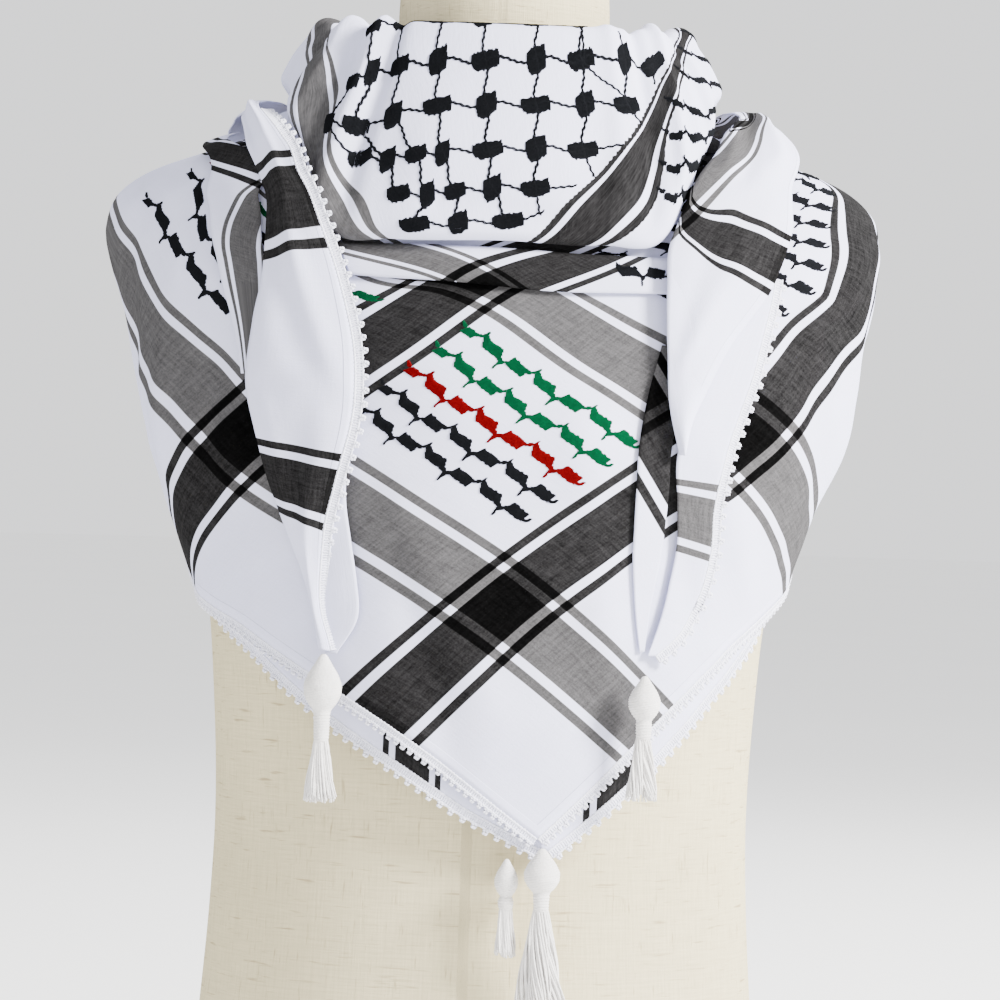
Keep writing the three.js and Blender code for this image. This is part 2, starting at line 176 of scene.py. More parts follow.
def oval(table: np.ndarray, angle: np.ndarray, height: np.ndarray) -> np.ndarray:
    """Points (W sin angle, -D cos angle, height) of the table's section at each height.

    Args:
        table: rows of height, half width, front depth and back depth, mm.
        angle: directions, radians from the front.
        height: places above the base, mm.

    Returns:
        (P, 3) points, mm.
    """
    sizes = curve(table[:, 0], table[:, 1:], height)
    depth = np.where(np.cos(angle) > 0, sizes[:, 1], sizes[:, 2])
    return np.stack([sizes[:, 0] * np.sin(angle), -depth * np.cos(angle), height], 1)


def unit(vectors: np.ndarray) -> np.ndarray:
    """The vectors scaled to length 1."""
    return vectors / np.maximum(np.linalg.norm(vectors, axis=-1, keepdims=True), 1e-9)


def smoothstep(values: np.ndarray) -> np.ndarray:
    """0 below 0, 1 above 1 and 3t^2-2t^3 between."""
    t = np.clip(values, 0, 1)
    return t * t * (3 - 2 * t)


@dataclass(frozen=True)
class Fold:
    """A soft ridge, or a trough where its height is negative, along a straight line."""

    start: tuple[float, float]
    end: tuple[float, float]
    width: float
    height: float

    def lift(self, x: np.ndarray, y: np.ndarray) -> np.ndarray:
        """height * exp(-(distance/width)^2), fading in over each quarter of the line.

        Args:
            x: first coordinates, mm.
            y: second coordinates, mm.

        Returns:
            Lift at each place, mm.
        """
        run = np.subtract(self.end, self.start)
        length = float(np.hypot(*run))
        across = ((x - self.start[0]) * run[1] - (y - self.start[1]) * run[0]) / length
        along = ((x - self.start[0]) * run[0] + (y - self.start[1]) * run[1]) / length**2
        fade = smoothstep(along * 4 + 0.6) * smoothstep((1 - along) * 4 + 0.6)
        return self.height * np.exp(-((across / self.width) ** 2)) * fade


ARC = 2.9  # mean millimetres a degree round the drape, for placing folds

# Folds of the whole fall of cloth: angle, height to angle, height; width; height, mm.
FALL = [
    ((-30, 470), (2, 290), 15, 1.5),
    ((-20, 420), (-6, 260), 11, -1.2),
    ((12, 470), (26, 300), 13, 1.4),
    ((22, 470), (44, 330), 11, -1.5),
    ((36, 440), (60, 350), 11, 1.8),
    ((50, 520), (80, 400), 13, -1.8),
    ((66, 560), (92, 430), 15, 2.4),
    ((84, 580), (108, 480), 14, -2.0),
    ((102, 590), (128, 510), 14, 2.2),
    ((120, 600), (150, 560), 12, -1.6),
    ((-44, 430), (-30, 540), 11, 1.0),
    ((-60, 400), (-42, 520), 12, -1.6),
    ((-74, 420), (-52, 550), 13, 2.0),
    ((-90, 450), (-66, 570), 13, -2.0),
    ((-106, 480), (-84, 590), 14, 2.2),
    ((-124, 520), (-104, 600), 13, -1.8),
    ((-146, 570), (-124, 610), 12, 1.6),
    ((-12, 520), (14, 500), 12, 0.8),
    ((-8, 380), (16, 330), 13, -0.8),
]
FALL_FOLDS = [
    Fold((a[0] * ARC, a[1]), (b[0] * ARC, b[1]), width, height) for a, b, width, height in FALL
]


FOLD_SHARE, RIPPLE_SHARE, CRUMPLE_SHARE = 1.45, 0.85, 0.42


def fall(degrees: np.ndarray, height: np.ndarray) -> np.ndarray:
    """Lift that every layer shares: the fall's folds, two crossed sines and a finer pair.

    Args:
        degrees: places round the form.
        height: places above the base, mm.

    Returns:
        Lift at each place, mm.
    """
    x = degrees * ARC
    lift = sum(fold.lift(x, height) for fold in FALL_FOLDS)
    ripple = np.sin(x / 19 + height / 31) * np.sin(height / 23 - x / 47)
    level = np.sin(height / 12.5 + 1.3 * np.sin(x / 21))
    crumple = np.sin(x / 9.5 + 1.7 * np.sin(height / 17)) * level
    return FOLD_SHARE * lift + RIPPLE_SHARE * ripple + CRUMPLE_SHARE * crumple


def drape_point(degrees: np.ndarray, height: np.ndarray, lift: np.ndarray) -> np.ndarray:
    """Points on the drape, lifted along its normal by lift and the fall's own folds, mm.

    Args:
        degrees: places round the form.
        height: places above the base, mm.
        lift: how far each stands off the drape, mm.

    Returns:
        (P, 3) points, mm.
    """
    angle = np.radians(degrees)
    around = oval(DRAPE, angle + 1e-3, height) - oval(DRAPE, angle - 1e-3, height)
    along = oval(DRAPE, angle, height + 0.1) - oval(DRAPE, angle, height - 0.1)
    normal = unit(np.cross(around, along))
    return oval(DRAPE, angle, height) + normal * (lift + fall(degrees, height))[:, None]


# ---- meshes --------------------------------------------------------------------------


@dataclass
class Shape:
    """Vertices in mm, faces as arrays of rows, and an optional UV pair for each vertex."""

    vertices: np.ndarray
    faces: list[np.ndarray]
    uv: np.ndarray | None = None

    def joined(self, other: "Shape") -> "Shape":
        """This shape and another as one.

        Args:
            other: the shape to add.

        Returns:
            One shape.
        """
        shift = len(self.vertices)
        uv = None
        if self.uv is not None and other.uv is not None:
            uv = np.concatenate([self.uv, other.uv])
        faces = self.faces + [rows + shift for rows in other.faces]
        return Shape(np.concatenate([self.vertices, other.vertices]), faces, uv)


def join(shapes: list[Shape]) -> Shape:
    """Several shapes as one.

    Args:
        shapes: the shapes, all with a UV map or none.

    Returns:
        One shape.
    """
    whole = shapes[0]
    for shape in shapes[1:]:
        whole = whole.joined(shape)
    return whole


def grid_faces(rows: int, columns: int, closed: bool = False) -> np.ndarray:
    """Four-sided faces of a grid of rows * columns vertices.

    Args:
        rows: vertices along the first parameter.
        columns: vertices along the second.
        closed: joins the last column to the first.

    Returns:
        (N, 4) vertex indices.
    """
    i = np.arange(rows - 1)[:, None]
    j = np.arange(columns if closed else columns - 1)[None, :]
    right = (j + 1) % columns
    near, far = i * columns, (i + 1) * columns
    corners = [near + j, far + j, far + right, near + right]
    return np.stack([np.broadcast_to(c, (rows - 1, j.shape[1])).ravel() for c in corners], 1)


def make_object(name: str, shape: Shape, material: bpy.types.Material) -> bpy.types.Object:
    """Puts a shape into Blender as a smooth object at the origin.

    Args:
        name: the piece's name.
        shape: its mesh in millimetres.
        material: its finish.

    Returns:
        The new object.
    """
    mesh = bpy.data.meshes.new(name)
    mesh.vertices.add(len(shape.vertices))
    mesh.vertices.foreach_set("co", (shape.vertices * MM).astype(np.float32).ravel())
    loops = np.concatenate([rows.ravel() for rows in shape.faces])
    sizes = np.concatenate([np.full(len(rows), rows.shape[1]) for rows in shape.faces])
    starts = np.concatenate([[0], np.cumsum(sizes)[:-1]])
    mesh.loops.add(len(loops))
    mesh.loops.foreach_set("vertex_index", loops.astype(np.int32))
    mesh.polygons.add(len(sizes))
    mesh.polygons.foreach_set("loop_start", starts.astype(np.int32))
    mesh.polygons.foreach_set("use_smooth", np.ones(len(sizes), bool))
    mesh.update(calc_edges=True)
    if shape.uv is not None:
        layer = mesh.uv_layers.new(name=CLOTH_UV)
        layer.data.foreach_set("uv", (shape.uv[loops] * MM).astype(np.float32).ravel())
    mesh.materials.append(material)
    mesh.validate()
    made = bpy.data.objects.new(name, mesh)
    bpy.context.scene.collection.objects.link(made)
    return made


def place(piece: bpy.types.Object, slot: str, *nodes: str) -> bpy.types.Object:
    """Rides a piece on the body and hides the CAD nodes that it stands for.

    Args:
        piece: the finished object.
        slot: not used.
        *nodes: nodes it stands for.

    Returns:
        The same object.
    """
    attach(piece, BODY)
    if nodes:
        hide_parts(*nodes)
    faces = len(piece.data.polygons)
    LOG.info("%s: %d faces, replaces %s", piece.name, faces, ", ".join(nodes) or "nothing")
    return piece


def tubes(paths: np.ndarray, radii: np.ndarray, sides: int = 6) -> Shape:
    """Round threads along paths, capped at both ends.

    Each ring is centre + radius*(cos a * side + sin a * up), with side and up square to
    the path's direction.

    Args:
        paths: (K, S, 3) points of K paths, mm.
        radii: (K, S) radii, mm.
        sides: points in each ring.

    Returns:
        One shape of all the threads.
    """
    count, steps, _ = paths.shape
    direction = unit(np.gradient(paths, axis=1))
    spare = np.where(np.abs(direction[..., 2:3]) > 0.9, [1.0, 0, 0], [0, 0, 1.0])
    side = unit(np.cross(direction, spare))
    up = np.cross(side, direction)
    turn = np.arange(sides) * 2 * math.pi / sides
    ring = side[:, :, None] * np.cos(turn)[:, None] + up[:, :, None] * np.sin(turn)[:, None]
    points = paths[:, :, None] + ring * radii[:, :, None, None]
    block = np.arange(count)[:, None, None] * steps * sides
    faces = (grid_faces(steps, sides, True)[None] + block).reshape(-1, 4)
    first = np.arange(sides)[None] + np.arange(count)[:, None] * steps * sides
    last = first + (steps - 1) * sides
    return Shape(points.reshape(-1, 3), [faces, first, last[:, ::-1]])


# ---- finishes ------------------------------------------------------------------------


class Graph:
    """Short calls for building one material's nodes."""

    def __init__(self, name: str) -> None:
        """Starts a material with an empty shader.

        Args:
            name: the material's name.
        """
        self.material = bpy.data.materials.new(name)
        self.material.use_nodes = True
        self.tree = self.material.node_tree
        self.shader = self.tree.nodes["Principled BSDF"]

    def node(self, kind: str, values: dict | None = None, **settings) -> bpy.types.Node:
        """Adds a node.

        Args:
            kind: node type without its ShaderNode prefix.
            values: inputs by name or number, each a constant or an output to link.
            **settings: the node's own settings.

        Returns:
            The node.
        """
        made = self.tree.nodes.new("ShaderNode" + kind)
        for key, value in settings.items():
            setattr(made, key, value)
        for key, value in (values or {}).items():
            if isinstance(value, Socket):
                self.tree.links.new(value, made.inputs[key])
            else:
                made.inputs[key].default_value = value
        return made

    def math(self, operation: str, *values: float | Socket) -> Socket:
        """One Math node on constants or outputs."""
        return self.node("Math", dict(enumerate(values)), operation=operation).outputs[0]

    def ramp(self, value: Socket, low: float, high: float, start: float, end: float) -> Socket:
        """Maps low..high to start..end, held outside."""
        made = self.node("MapRange", {0: value, 1: low, 2: high, 3: start, 4: end}, clamp=True)
        return made.outputs[0]

    def noise(
        self, vector: Socket, scale: float, detail: float = 3.0, stretch: Colour = (1, 1, 1)
    ) -> Socket:
        """Noise of about 1/scale metres, stretched along the axes given less than 1.

        Args:
            vector: place to look up, metres.
            scale: features a metre.
            detail: octaves.
            stretch: scale of each axis; less than 1 draws the features out.

        Returns:
            Output of the noise, 0 to 1.
        """
        mapped = self.node("Mapping", {"Vector": vector, "Scale": stretch}).outputs[0]
        values = {"Vector": mapped, "Scale": scale, "Detail": detail, "Roughness": 0.6}
        return self.node("TexNoise", values).outputs[0]

    def mix(self, amount: Socket, first: Socket | Colour, second: Socket | Colour) -> Socket:
        """Mixes two colours.

        Args:
            amount: share of the second colour.
            first: colour where the amount is 0.
            second: colour where it is 1.

        Returns:
            Output with the colour.
        """
        made = self.node("Mix", {0: amount}, data_type="RGBA")
        for number, value in ((6, first), (7, second)):
            if isinstance(value, Socket):
                self.tree.links.new(value, made.inputs[number])
            else:
                made.inputs[number].default_value = (*value, 1)
        return made.outputs[2]

    def scaled(self, colour: Socket | Colour, amount: Socket) -> Socket:
        """A colour times a number.

        Args:
            colour: the colour.
            amount: the number.

        Returns:
            Output with the colour.
        """
        values = {"Scale": amount}
        made = self.node("VectorMath", values, operation="SCALE")
        if isinstance(colour, Socket):
            self.tree.links.new(colour, made.inputs[0])
        else:
            made.inputs[0].default_value = colour
        return made.outputs[0]

    def finish(
        self, colour: Socket, bump: Socket | None = None, depth: float = 0.0002, **constants: float
    ) -> bpy.types.Material:
        """Links the colour and bump and sets the shader's constants.

        Args:
            colour: output for Base Color.
            bump: output for the bump's height.
            depth: bump distance, metres.
            **constants: shader inputs by name, with _ for spaces.

        Returns:
            The material.
        """
        self.tree.links.new(colour, self.shader.inputs["Base Color"])
        if bump is not None:
            values = {"Height": bump, "Distance": depth, "Strength": 1.0}
            made = self.node("Bump", values)
            self.tree.links.new(made.outputs[0], self.shader.inputs["Normal"])
        for name, value in constants.items():
            self.shader.inputs[name.replace("_", " ")].default_value = value
        return self.material


@dataclass(frozen=True)
class BandedCotton:
    """White cotton woven with charcoal bands one way and grey bands the other."""

    name: str = "banded_cotton"
    white: Colour = (0.66, 0.67, 0.86)
    dark_centres: tuple[float, ...] = (0.110, 0.290, 0.465)
    grey_centres: tuple[float, ...] = (0.088, 0.253)
    dark: float = 0.017
    band: Colour = (0.70, 0.68, 0.70)  # undyed white of the banded yarn
    grey: float = 0.095
    wide: float = 0.0156  # half of the wide stripe
    thin_at: float = 0.0233  # from the middle of the wide stripe to that of a thin one
    thin: float = 0.00265
    hem: float = 0.006

    def material(self) -> bpy.types.Material:
        """Bands by distance from their middles, dyed by multiplying, with weave, slubs and soft
        patches of painted wrinkle shade.
        """
        g = Graph(self.name)
        uv = g.node("UVMap", uv_map=CLOTH_UV).outputs[0]
        parts = g.node("SeparateXYZ", {0: uv})
        a, b = parts.outputs[0], parts.outputs[1]
        slub_a = g.noise(uv, 520.0, 4.0, (1.0, 0.12, 1.0))
        slub_b = g.noise(uv, 520.0, 4.0, (0.12, 1.0, 1.0))
        grain = g.noise(uv, 900.0, 3.0)
        weave = g.math("MULTIPLY", g.math("ADD", g.math("ADD", slub_a, slub_b), grain), 0.3333)
        dark = self.stripe(g, b, self.dark_centres)
        grey = self.stripe(g, a, self.grey_centres)
        hem = g.ramp(g.math("MINIMUM", a, b), self.hem - 0.0004, self.hem, 1.0, 0.0)
        mottle = g.ramp(weave, 0.38, 0.62, 0.35, 1.95)
        dark_dye = g.math("MULTIPLY", self.dark, mottle)
        dark_dye = g.math("MULTIPLY", dark_dye, g.ramp(hem, 0.0, 1.0, 1.0, 0.55))
        grey_dye = g.math("MULTIPLY", self.grey, g.ramp(weave, 0.36, 0.64, 0.6, 1.45))
        cloth_dark = self.dyed(g, dark, dark_dye)
        cloth_grey = self.dyed(g, grey, grey_dye)
        # Painted wrinkle shade: soft noise patches several centimetres across darken the cloth by
        # up to 7 %.
        tone = g.ramp(g.noise(uv, 16.0, 2.0), 0.3, 0.7, 0.93, 1.0)
        tone = g.math("MULTIPLY", tone, g.ramp(weave, 0.36, 0.64, 0.965, 1.02))
        tone = g.math("MULTIPLY", tone, g.ramp(hem, 0.0, 1.0, 1.0, 1.05))
        strength = g.math("MULTIPLY", g.math("MULTIPLY", cloth_dark, cloth_grey), tone)
        yarn = g.mix(g.math("MAXIMUM", dark, grey), self.white, self.band)
        colour = g.scaled(yarn, strength)
        height = g.math("ADD", weave, g.math("MULTIPLY", hem, 0.8))
        return g.finish(colour, height, 0.0004, Roughness=0.92, Specular_IOR_Level=0.02)

    def stripe(self, g: Graph, at: Socket, centres: tuple[float, ...]) -> Socket:
        """1 on the wide stripe and its two thin ones about each centre, else 0.

        Args:
            g: the material's graph.
            at: output with the place across the bands, metres.
            centres: middles of the bands, metres.

        Returns:
            The mask.
        """
        away = None
        for centre in centres:
            gap = g.math("ABSOLUTE", g.math("SUBTRACT", at, centre))
            away = gap if away is None else g.math("MINIMUM", away, gap)
        wide = g.ramp(away, self.wide - 0.0002, self.wide + 0.0002, 1.0, 0.0)
        beside = g.math("ABSOLUTE", g.math("SUBTRACT", away, self.thin_at))
        thin = g.ramp(beside, self.thin - 0.0002, self.thin + 0.0002, 1.0, 0.0)
        return g.math("MAXIMUM", wide, thin)

    def dyed(self, g: Graph, mask: Socket, dye: Socket) -> Socket:
        """1 off the bands and the dye's share of light on them."""
        return g.math("SUBTRACT", 1.0, g.math("MULTIPLY", mask, g.math("SUBTRACT", 1.0, dye)))


@dataclass(frozen=True)
class Thread:
    """Cotton thread of one colour: embroidery, lace or tassel."""

    name: str
    colour: Colour
    fine: float = 900.0
    depth: float = 0.00025
    varied: float = 0.12

    def material(self) -> bpy.types.Material:
        """The colour with fine fibre noise in its brightness and bump."""
        g = Graph(self.name)
        at = g.node("TexCoord").outputs["Object"]
        fibre = g.noise(at, self.fine, 3.0)
        patch = g.noise(at, 120.0, 2.0)
        amount = g.math("ADD", g.math("MULTIPLY", fibre, 0.6), g.math("MULTIPLY", patch, 0.4))
        colour = g.scaled(self.colour, g.ramp(amount, 0.3, 0.7, 1 - self.varied, 1 + self.varied))
        return g.finish(colour, fibre, self.depth, Roughness=0.9, Specular_IOR_Level=0.05)


@dataclass(frozen=True)
class SlubLinen:
    """Natural linen with thick threads both ways and scattered darker flecks."""

    name: str = "slub_linen"
    colour: Colour = (0.58, 0.51, 0.32)
    fleck: Colour = (0.26, 0.20, 0.11)

    def material(self) -> bpy.types.Material:
        """Long noise along the UV's two directions for threads, sharpened for flecks."""
        g = Graph(self.name)
        uv = g.node("UVMap", uv_map=CLOTH_UV).outputs[0]
        level = g.noise(uv, 700.0, 4.0, (0.05, 1.0, 1.0))
        upright = g.noise(uv, 700.0, 4.0, (1.0, 0.05, 1.0))
        threads = g.math("MULTIPLY", g.math("ADD", level, upright), 0.5)
        flecks = g.ramp(g.noise(uv, 380.0, 2.0, (0.09, 1.0, 1.0)), 0.61, 0.74, 0.0, 0.7)
        upright_flecks = g.ramp(g.noise(uv, 400.0, 2.0, (1.0, 0.12, 1.0)), 0.62, 0.75, 0.0, 0.6)
        patch = g.ramp(g.noise(uv, 9.0, 2.0), 0.3, 0.7, 0.95, 1.03)
        tone = g.math("MULTIPLY", g.ramp(threads, 0.36, 0.64, 0.88, 1.07), patch)
        base = g.scaled(self.colour, tone)
        colour = g.mix(g.math("MAXIMUM", flecks, upright_flecks), base, self.fleck)
        return g.finish(colour, threads, 0.0006, Roughness=0.95, Specular_IOR_Level=0.05)


class Yarn(Enum):
    """The thread colours of the scarf."""

    BLACK = ("black_embroidery", (0.006, 0.0065, 0.008))
    GREEN = ("green_embroidery", (0.0004, 0.062, 0.022))
    RED = ("red_embroidery", (0.13, 0.0004, 0.0016))


# ---- stretches of cloth --------------------------------------------------------------


@dataclass
class Stretch:
    """One stretch of the scarf's cloth as a net of (angle, height, lift) and its cloth map."""

    name: str
    across: list[float]
    along: list[float]
    nodes: list[list[list[float]]]
    span: tuple[float, float]  # millimetres of one unit across and of one unit along
    crown: float = 0.0
    straight: bool = False
    folds: list[Fold] = field(default_factory=list)
    pitch: float = 3.0

    def spots(self, u: np.ndarray, v: np.ndarray) -> np.ndarray:
        """(P, 3) angle, height and lift at places u across and v along.

        Args:
            u: places across.
            v: places along.

        Returns:
            (P, 3) angle, height and lift.
        """
        through = polyline if self.straight else curve
        rows = []
        for row in self.nodes:
            full = [(*node, 0) if len(node) == 2 else node for node in row]
            rows.append(through(self.across, np.array(full, float), u))
        found = through(self.along, np.stack(rows), v)
        t = (u - self.across[0]) / (self.across[-1] - self.across[0])
        found[:, 2] += self.crown * 4 * t * (1 - t)
        return found

    def own_lift(self, u: np.ndarray, v: np.ndarray) -> np.ndarray:
        """Lift of this stretch's own folds, mm.

        Args:
            u: places across.
            v: places along.

        Returns:
            Lift at each place, mm.
        """
        lift = np.zeros(len(u))
        for fold in self.folds:
            lift += fold.lift(u * self.span[0], v * self.span[1])
        return lift

    def surface(
        self, u: np.ndarray, v: np.ndarray, raised: float | np.ndarray = 0.0
    ) -> np.ndarray:
        """Points of the outer face, raised off it by so many millimetres.

        Args:
            u: places across.
            v: places along.
            raised: height off the face, mm.

        Returns:
            (P, 3) points, mm.
        """
        spots = self.spots(u, v)
        lift = spots[:, 2] + self.own_lift(u, v) + raised
        return drape_point(spots[:, 0], spots[:, 1], lift)

    def cloth_map(self, u: np.ndarray, v: np.ndarray, points: np.ndarray) -> np.ndarray:
        """(P, 2) distances from the two hems; the net's own knots where they are those."""
        return np.stack([u, v], 1)

    def sides(self) -> tuple[np.ndarray, np.ndarray]:
        """Places across and along at the stretch's pitch."""
        width = (self.across[-1] - self.across[0]) * self.span[0]
        length = (self.along[-1] - self.along[0]) * self.span[1]
        us = np.linspace(self.across[0], self.across[-1], max(6, round(width / self.pitch)) + 1)
        vs = np.linspace(self.along[0], self.along[-1], max(6, round(length / self.pitch)) + 1)
        return us, vs

    def shape(self) -> Shape:
        """The outer face as a grid, facing out, with its cloth map."""
        us, vs = self.sides()
        u, v = (g.ravel() for g in np.meshgrid(us, vs, indexing="ij"))
        points = self.surface(u, v)
        faces = grid_faces(len(us), len(vs))
        outwards = self.surface(u, v, 1.0) - points
        corner = points[faces]
        normal = np.cross(corner[:, 2] - corner[:, 0], corner[:, 3] - corner[:, 1])
        if np.sum(normal * outwards[faces[:, 0]]) < 0:
            faces = faces[:, ::-1]
        return Shape(points, [faces], self.cloth_map(u, v, points))

    def build(self, material: bpy.types.Material) -> bpy.types.Object:
        """The cloth as an object with a wall.

        Args:
            material: its finish.

        Returns:
            The new object.
        """
        made = make_object(self.name, self.shape(), material)
        wall = made.modifiers.new("wall", "SOLIDIFY")
        wall.thickness = CLOTH_WALL * MM
        wall.offset = -1
        return made


@dataclass
class Mapped(Stretch):
    """A stretch whose cloth map is worked out from its places by a rule of its own."""

    rule: Rule | None = None

    def cloth_map(self, u: np.ndarray, v: np.ndarray, points: np.ndarray) -> np.ndarray:
        """Calls the stretch's own rule."""
        return self.rule(u, v, points)


def front_map(u: np.ndarray, v: np.ndarray, points: np.ndarray) -> np.ndarray:
    """The net's own distances, with the cloth pulled down over one shoulder.

    Args:
        u: places across.
        v: places along.
        points: the same places as points, mm.

    Returns:
        (P, 2) distances from the two hems, mm.
    """
    pulled = 0.65 * np.maximum(u - 345, 0) * np.exp(-(((v - 190) / 110) ** 2))
    turned = 0.95 * np.maximum(v - 425, 0) * smoothstep((250 - u) / 60)
    return np.stack([u, v - pulled - turned], 1)


FRONT = Mapped(
    "front_cloth",
    [0, 88, 170, 253, 335, 420, 480, 560],
    [0, 110, 200, 290, 335, 375, 420, 465, 530, 610],
    [
        [[11, 217], [33, 278], [54, 326], [88, 372],
         [115, 430], [140, 505], [155, 560], [176, 586]],
        [[-20, 282], [3, 348], [23, 399], [43, 448], [64, 515], [92, 568], [128, 596], [154, 606]],
        [[-53, 330], [-20, 394], [0, 446], [18, 493], [33, 545], [56, 587], [98, 612], [126, 620]],
        [[-88, 362], [-43, 441], [-20, 491], [-3, 535],
         [10, 559], [38, 600], [70, 618], [94, 627]],
        [[-101, 392], [-54, 472], [-33, 513],
         [-16, 542], [-2, 566], [27, 602], [50, 621], [70, 630]],
        [[-112, 420], [-68, 502], [-41, 550],
         [-30, 578], [-14, 592], [14, 608], [35, 623], [50, 632]],
        [[-124, 460], [-80, 540], [-53, 587],
         [-48, 604], [-25, 611], [3, 616], [22, 626], [34, 634]],
        [[-135, 500], [-100, 578], [-82, 601],
         [-68, 613], [-40, 618], [-10, 622], [8, 629], [18, 636]],
        [[-150, 560], [-134, 594], [-118, 607],
         [-98, 617], [-65, 624], [-28, 629], [-8, 633], [2, 638]],
        [[-174, 588], [-158, 604], [-138, 617], [-116, 625],
         [-80, 630], [-44, 634], [-22, 637], [-12, 640]],
    ],
    (1.0, 1.0),
    pitch=3.1,
    rule=front_map,
)



HEM = [(-72, 345), (-50, 317), (-31, 282), (-16, 257), (-3, 233), (13, 209)]
HEM += [(26, 239), (38, 269), (51, 302), (65, 330), (78, 356)]
HEM_POINT = 5


def lower_map(u: np.ndarray, v: np.ndarray, points: np.ndarray) -> np.ndarray:
    """Height above the hem, and along it a dark band's end on each side of the point.

    Args:
        u: places across.
        v: places along.
        points: the same places as points, mm.

    Returns:
        (P, 2) distances from the two hems, mm.
    """
    left = 110 + (3.2 - v) * 60
    right = 110 + (v - 6.1) * 48
    return np.stack([u * 0.5 + 12, np.where(v < HEM_POINT, left, right)], 1)


LOWER = Mapped(
    "lower_layer",
    [0, 60],
    list(range(11)),
    [[[a, h, -4], [a, h + 60, -4]] for a, h in HEM],
    (1.0, 46.0),
    straight=True,
    pitch=2.6,
    rule=lower_map,
)


def tuck_map(u: np.ndarray, v: np.ndarray, points: np.ndarray) -> np.ndarray:
    """The front cloth's map carried on over the pressed fold.

    Args:
        u: places across.
        v: places along.
        points: the same places as points, mm.

    Returns:
        (P, 2) distances from the two hems, mm.
    """
    upper = np.array([[246, 364], [277, 336], [330, 303], [380, 248]], float)
    lower = np.array([[199, 340], [229, 316], [290, 270], [340, 225]], float)
    top, bottom = (curve([0, 1, 2, 3], rows, v) for rows in (upper, lower))
    return top * (1 - u[:, None]) + bottom * u[:, None]


TUCK = Mapped(
    "pressed_fold",
    [0, 1],
    [0, 1, 2, 3],
    [
        [[-23.2, 551, 3.6], [-21.6, 533, 3]],
        [[-9, 550, 4.5], [-8, 530, 3.5]],
        [[9, 548, 4.5], [8, 526, 3.5]],
        [[27, 547, 4.5], [27, 527, 3.5]],
    ],
    (21.0, 66.0),
    crown=1.0,
    pitch=2.0,
    rule=tuck_map,
)


def pleat_map(u: np.ndarray, v: np.ndarray, points: np.ndarray) -> np.ndarray:
    """A grey band runs down the pleat and the third dark band crosses its top."""
    a = 253 + (0.6 - u) * 58 + 0.010 * np.maximum(v - 110, 0) ** 2
    return np.stack([a, np.maximum(465 + (v - 202), 350) + (u - 0.5) * 16], 1)


PLEAT = Mapped(
    "shoulder_pleat",
    [0, 1],
    [0, 60, 115, 160, 200, 235],
    [
        [[-41.5, 476, 3.5], [-37, 476, 3]],
        [[-43, 511, 4.5], [-36, 511, 3.5]],
        [[-44.5, 545, 5.5], [-35.5, 545, 4]],
        [[-47, 576, 6], [-37, 576, 5]],
        [[-56, 600, 6.5], [-44, 601, 6]],
        [[-88, 614, 6], [-84, 618, 5]],
    ],
    (30.0, 1.0),
    crown=0.5,
    pitch=2.0,
    rule=pleat_map,
)


def left_tail_map(u: np.ndarray, v: np.ndarray, points: np.ndarray) -> np.ndarray:
    """The lace hem is at u = 1, and two dark bands cross the end."""
    tilt = np.clip(13 - (v - 123) * 0.09, -9, 13) * (u - 0.5)
    return np.stack([1 + (1 - u) * 58, 110 + (v - 123) * 0.914 + tilt], 1)


LEFT_TAIL = Mapped(
    "left_end",
    [0, 1],
    [0, 45, 85, 120, 165, 210, 250, 290, 330, 370, 400, 430, 480, 560],
    [
        [[-31.7, 321, 8], [-29.2, 320, 8]],
        [[-33.3, 350, 8], [-31.3, 350, 8]],
        [[-36, 385, 8], [-29, 386, 8]],
        [[-37.8, 412, 8], [-25.8, 413, 8]],
        [[-39, 446, 8], [-22, 446, 8]],
        [[-39.6, 476, 8], [-20.8, 477, 8]],
        [[-37.6, 506, 8], [-21.7, 507, 8]],
        [[-35, 538, 9], [-23.8, 541, 12]],
        [[-35.5, 578, 13], [-28, 575, 24]],
        [[-50, 606, 15], [-38.5, 603, 25]],
        [[-72, 618, 15], [-60, 618, 21]],
        [[-90, 618, 14], [-86, 628, 15]],
        [[-124, 607, 11], [-124, 633, 9]],
        [[-176, 595, 6], [-176, 640, 4]],
    ],
    (50.0, 1.0),
    crown=3.0,
    folds=[
        Fold((14, 345), (44, 200), 7, 2.4),
        Fold((6, 300), (30, 215), 8, -1.8),
        Fold((30, 190), (16, 90), 8, -1.3),
        Fold((38, 150), (26, 60), 7, 1.2),
        Fold((8, 190), (12, 100), 6, 1.4),
        Fold((34, 400), (26, 320), 8, 2.6),
        Fold((14, 420), (12, 340), 7, -2.2),
        Fold((22, 520), (24, 430), 8, 2.4),
    ],
    pitch=2.2,
    rule=left_tail_map,
)


def plain_map(u: np.ndarray, v: np.ndarray, points: np.ndarray) -> np.ndarray:
    """A corner of the cloth inside the first bands, all white."""
    return np.stack([20 + u * 30, 20 + v * 0.1], 1)


LEFT_UNDER = Mapped(
    "left_end_lower",
    [0, 1],
    [0, 40, 80, 110, 150, 200, 250, 300, 340, 375, 410, 440, 485],
    [
        [[-31, 318, 4], [-28.5, 318, 4]],
        [[-31, 338, 4], [-24.2, 338, 4]],
        [[-31, 362, 4], [-24, 361, 4]],
        [[-31, 384, 4], [-24.2, 384, 4]],
        [[-31, 406, 4], [-24.2, 406, 4]],
        [[-31, 440, 4], [-22.6, 440, 4]],
        [[-31, 484, 4], [-21.7, 484, 4]],
        [[-31, 518, 4], [-22, 518, 4]],
        [[-31, 550, 4], [-24, 551, 4]],
        [[-33, 579, 4], [-27.5, 580, 4]],
        [[-43, 606, 5], [-43, 616, 5]],
        [[-60, 619, 6], [-63, 628, 6]],
        [[-86, 623, 7], [-88, 632, 7]],
    ],
    (28.0, 1.0),
    crown=0.8,
    pitch=2.4,
    rule=plain_map,
)


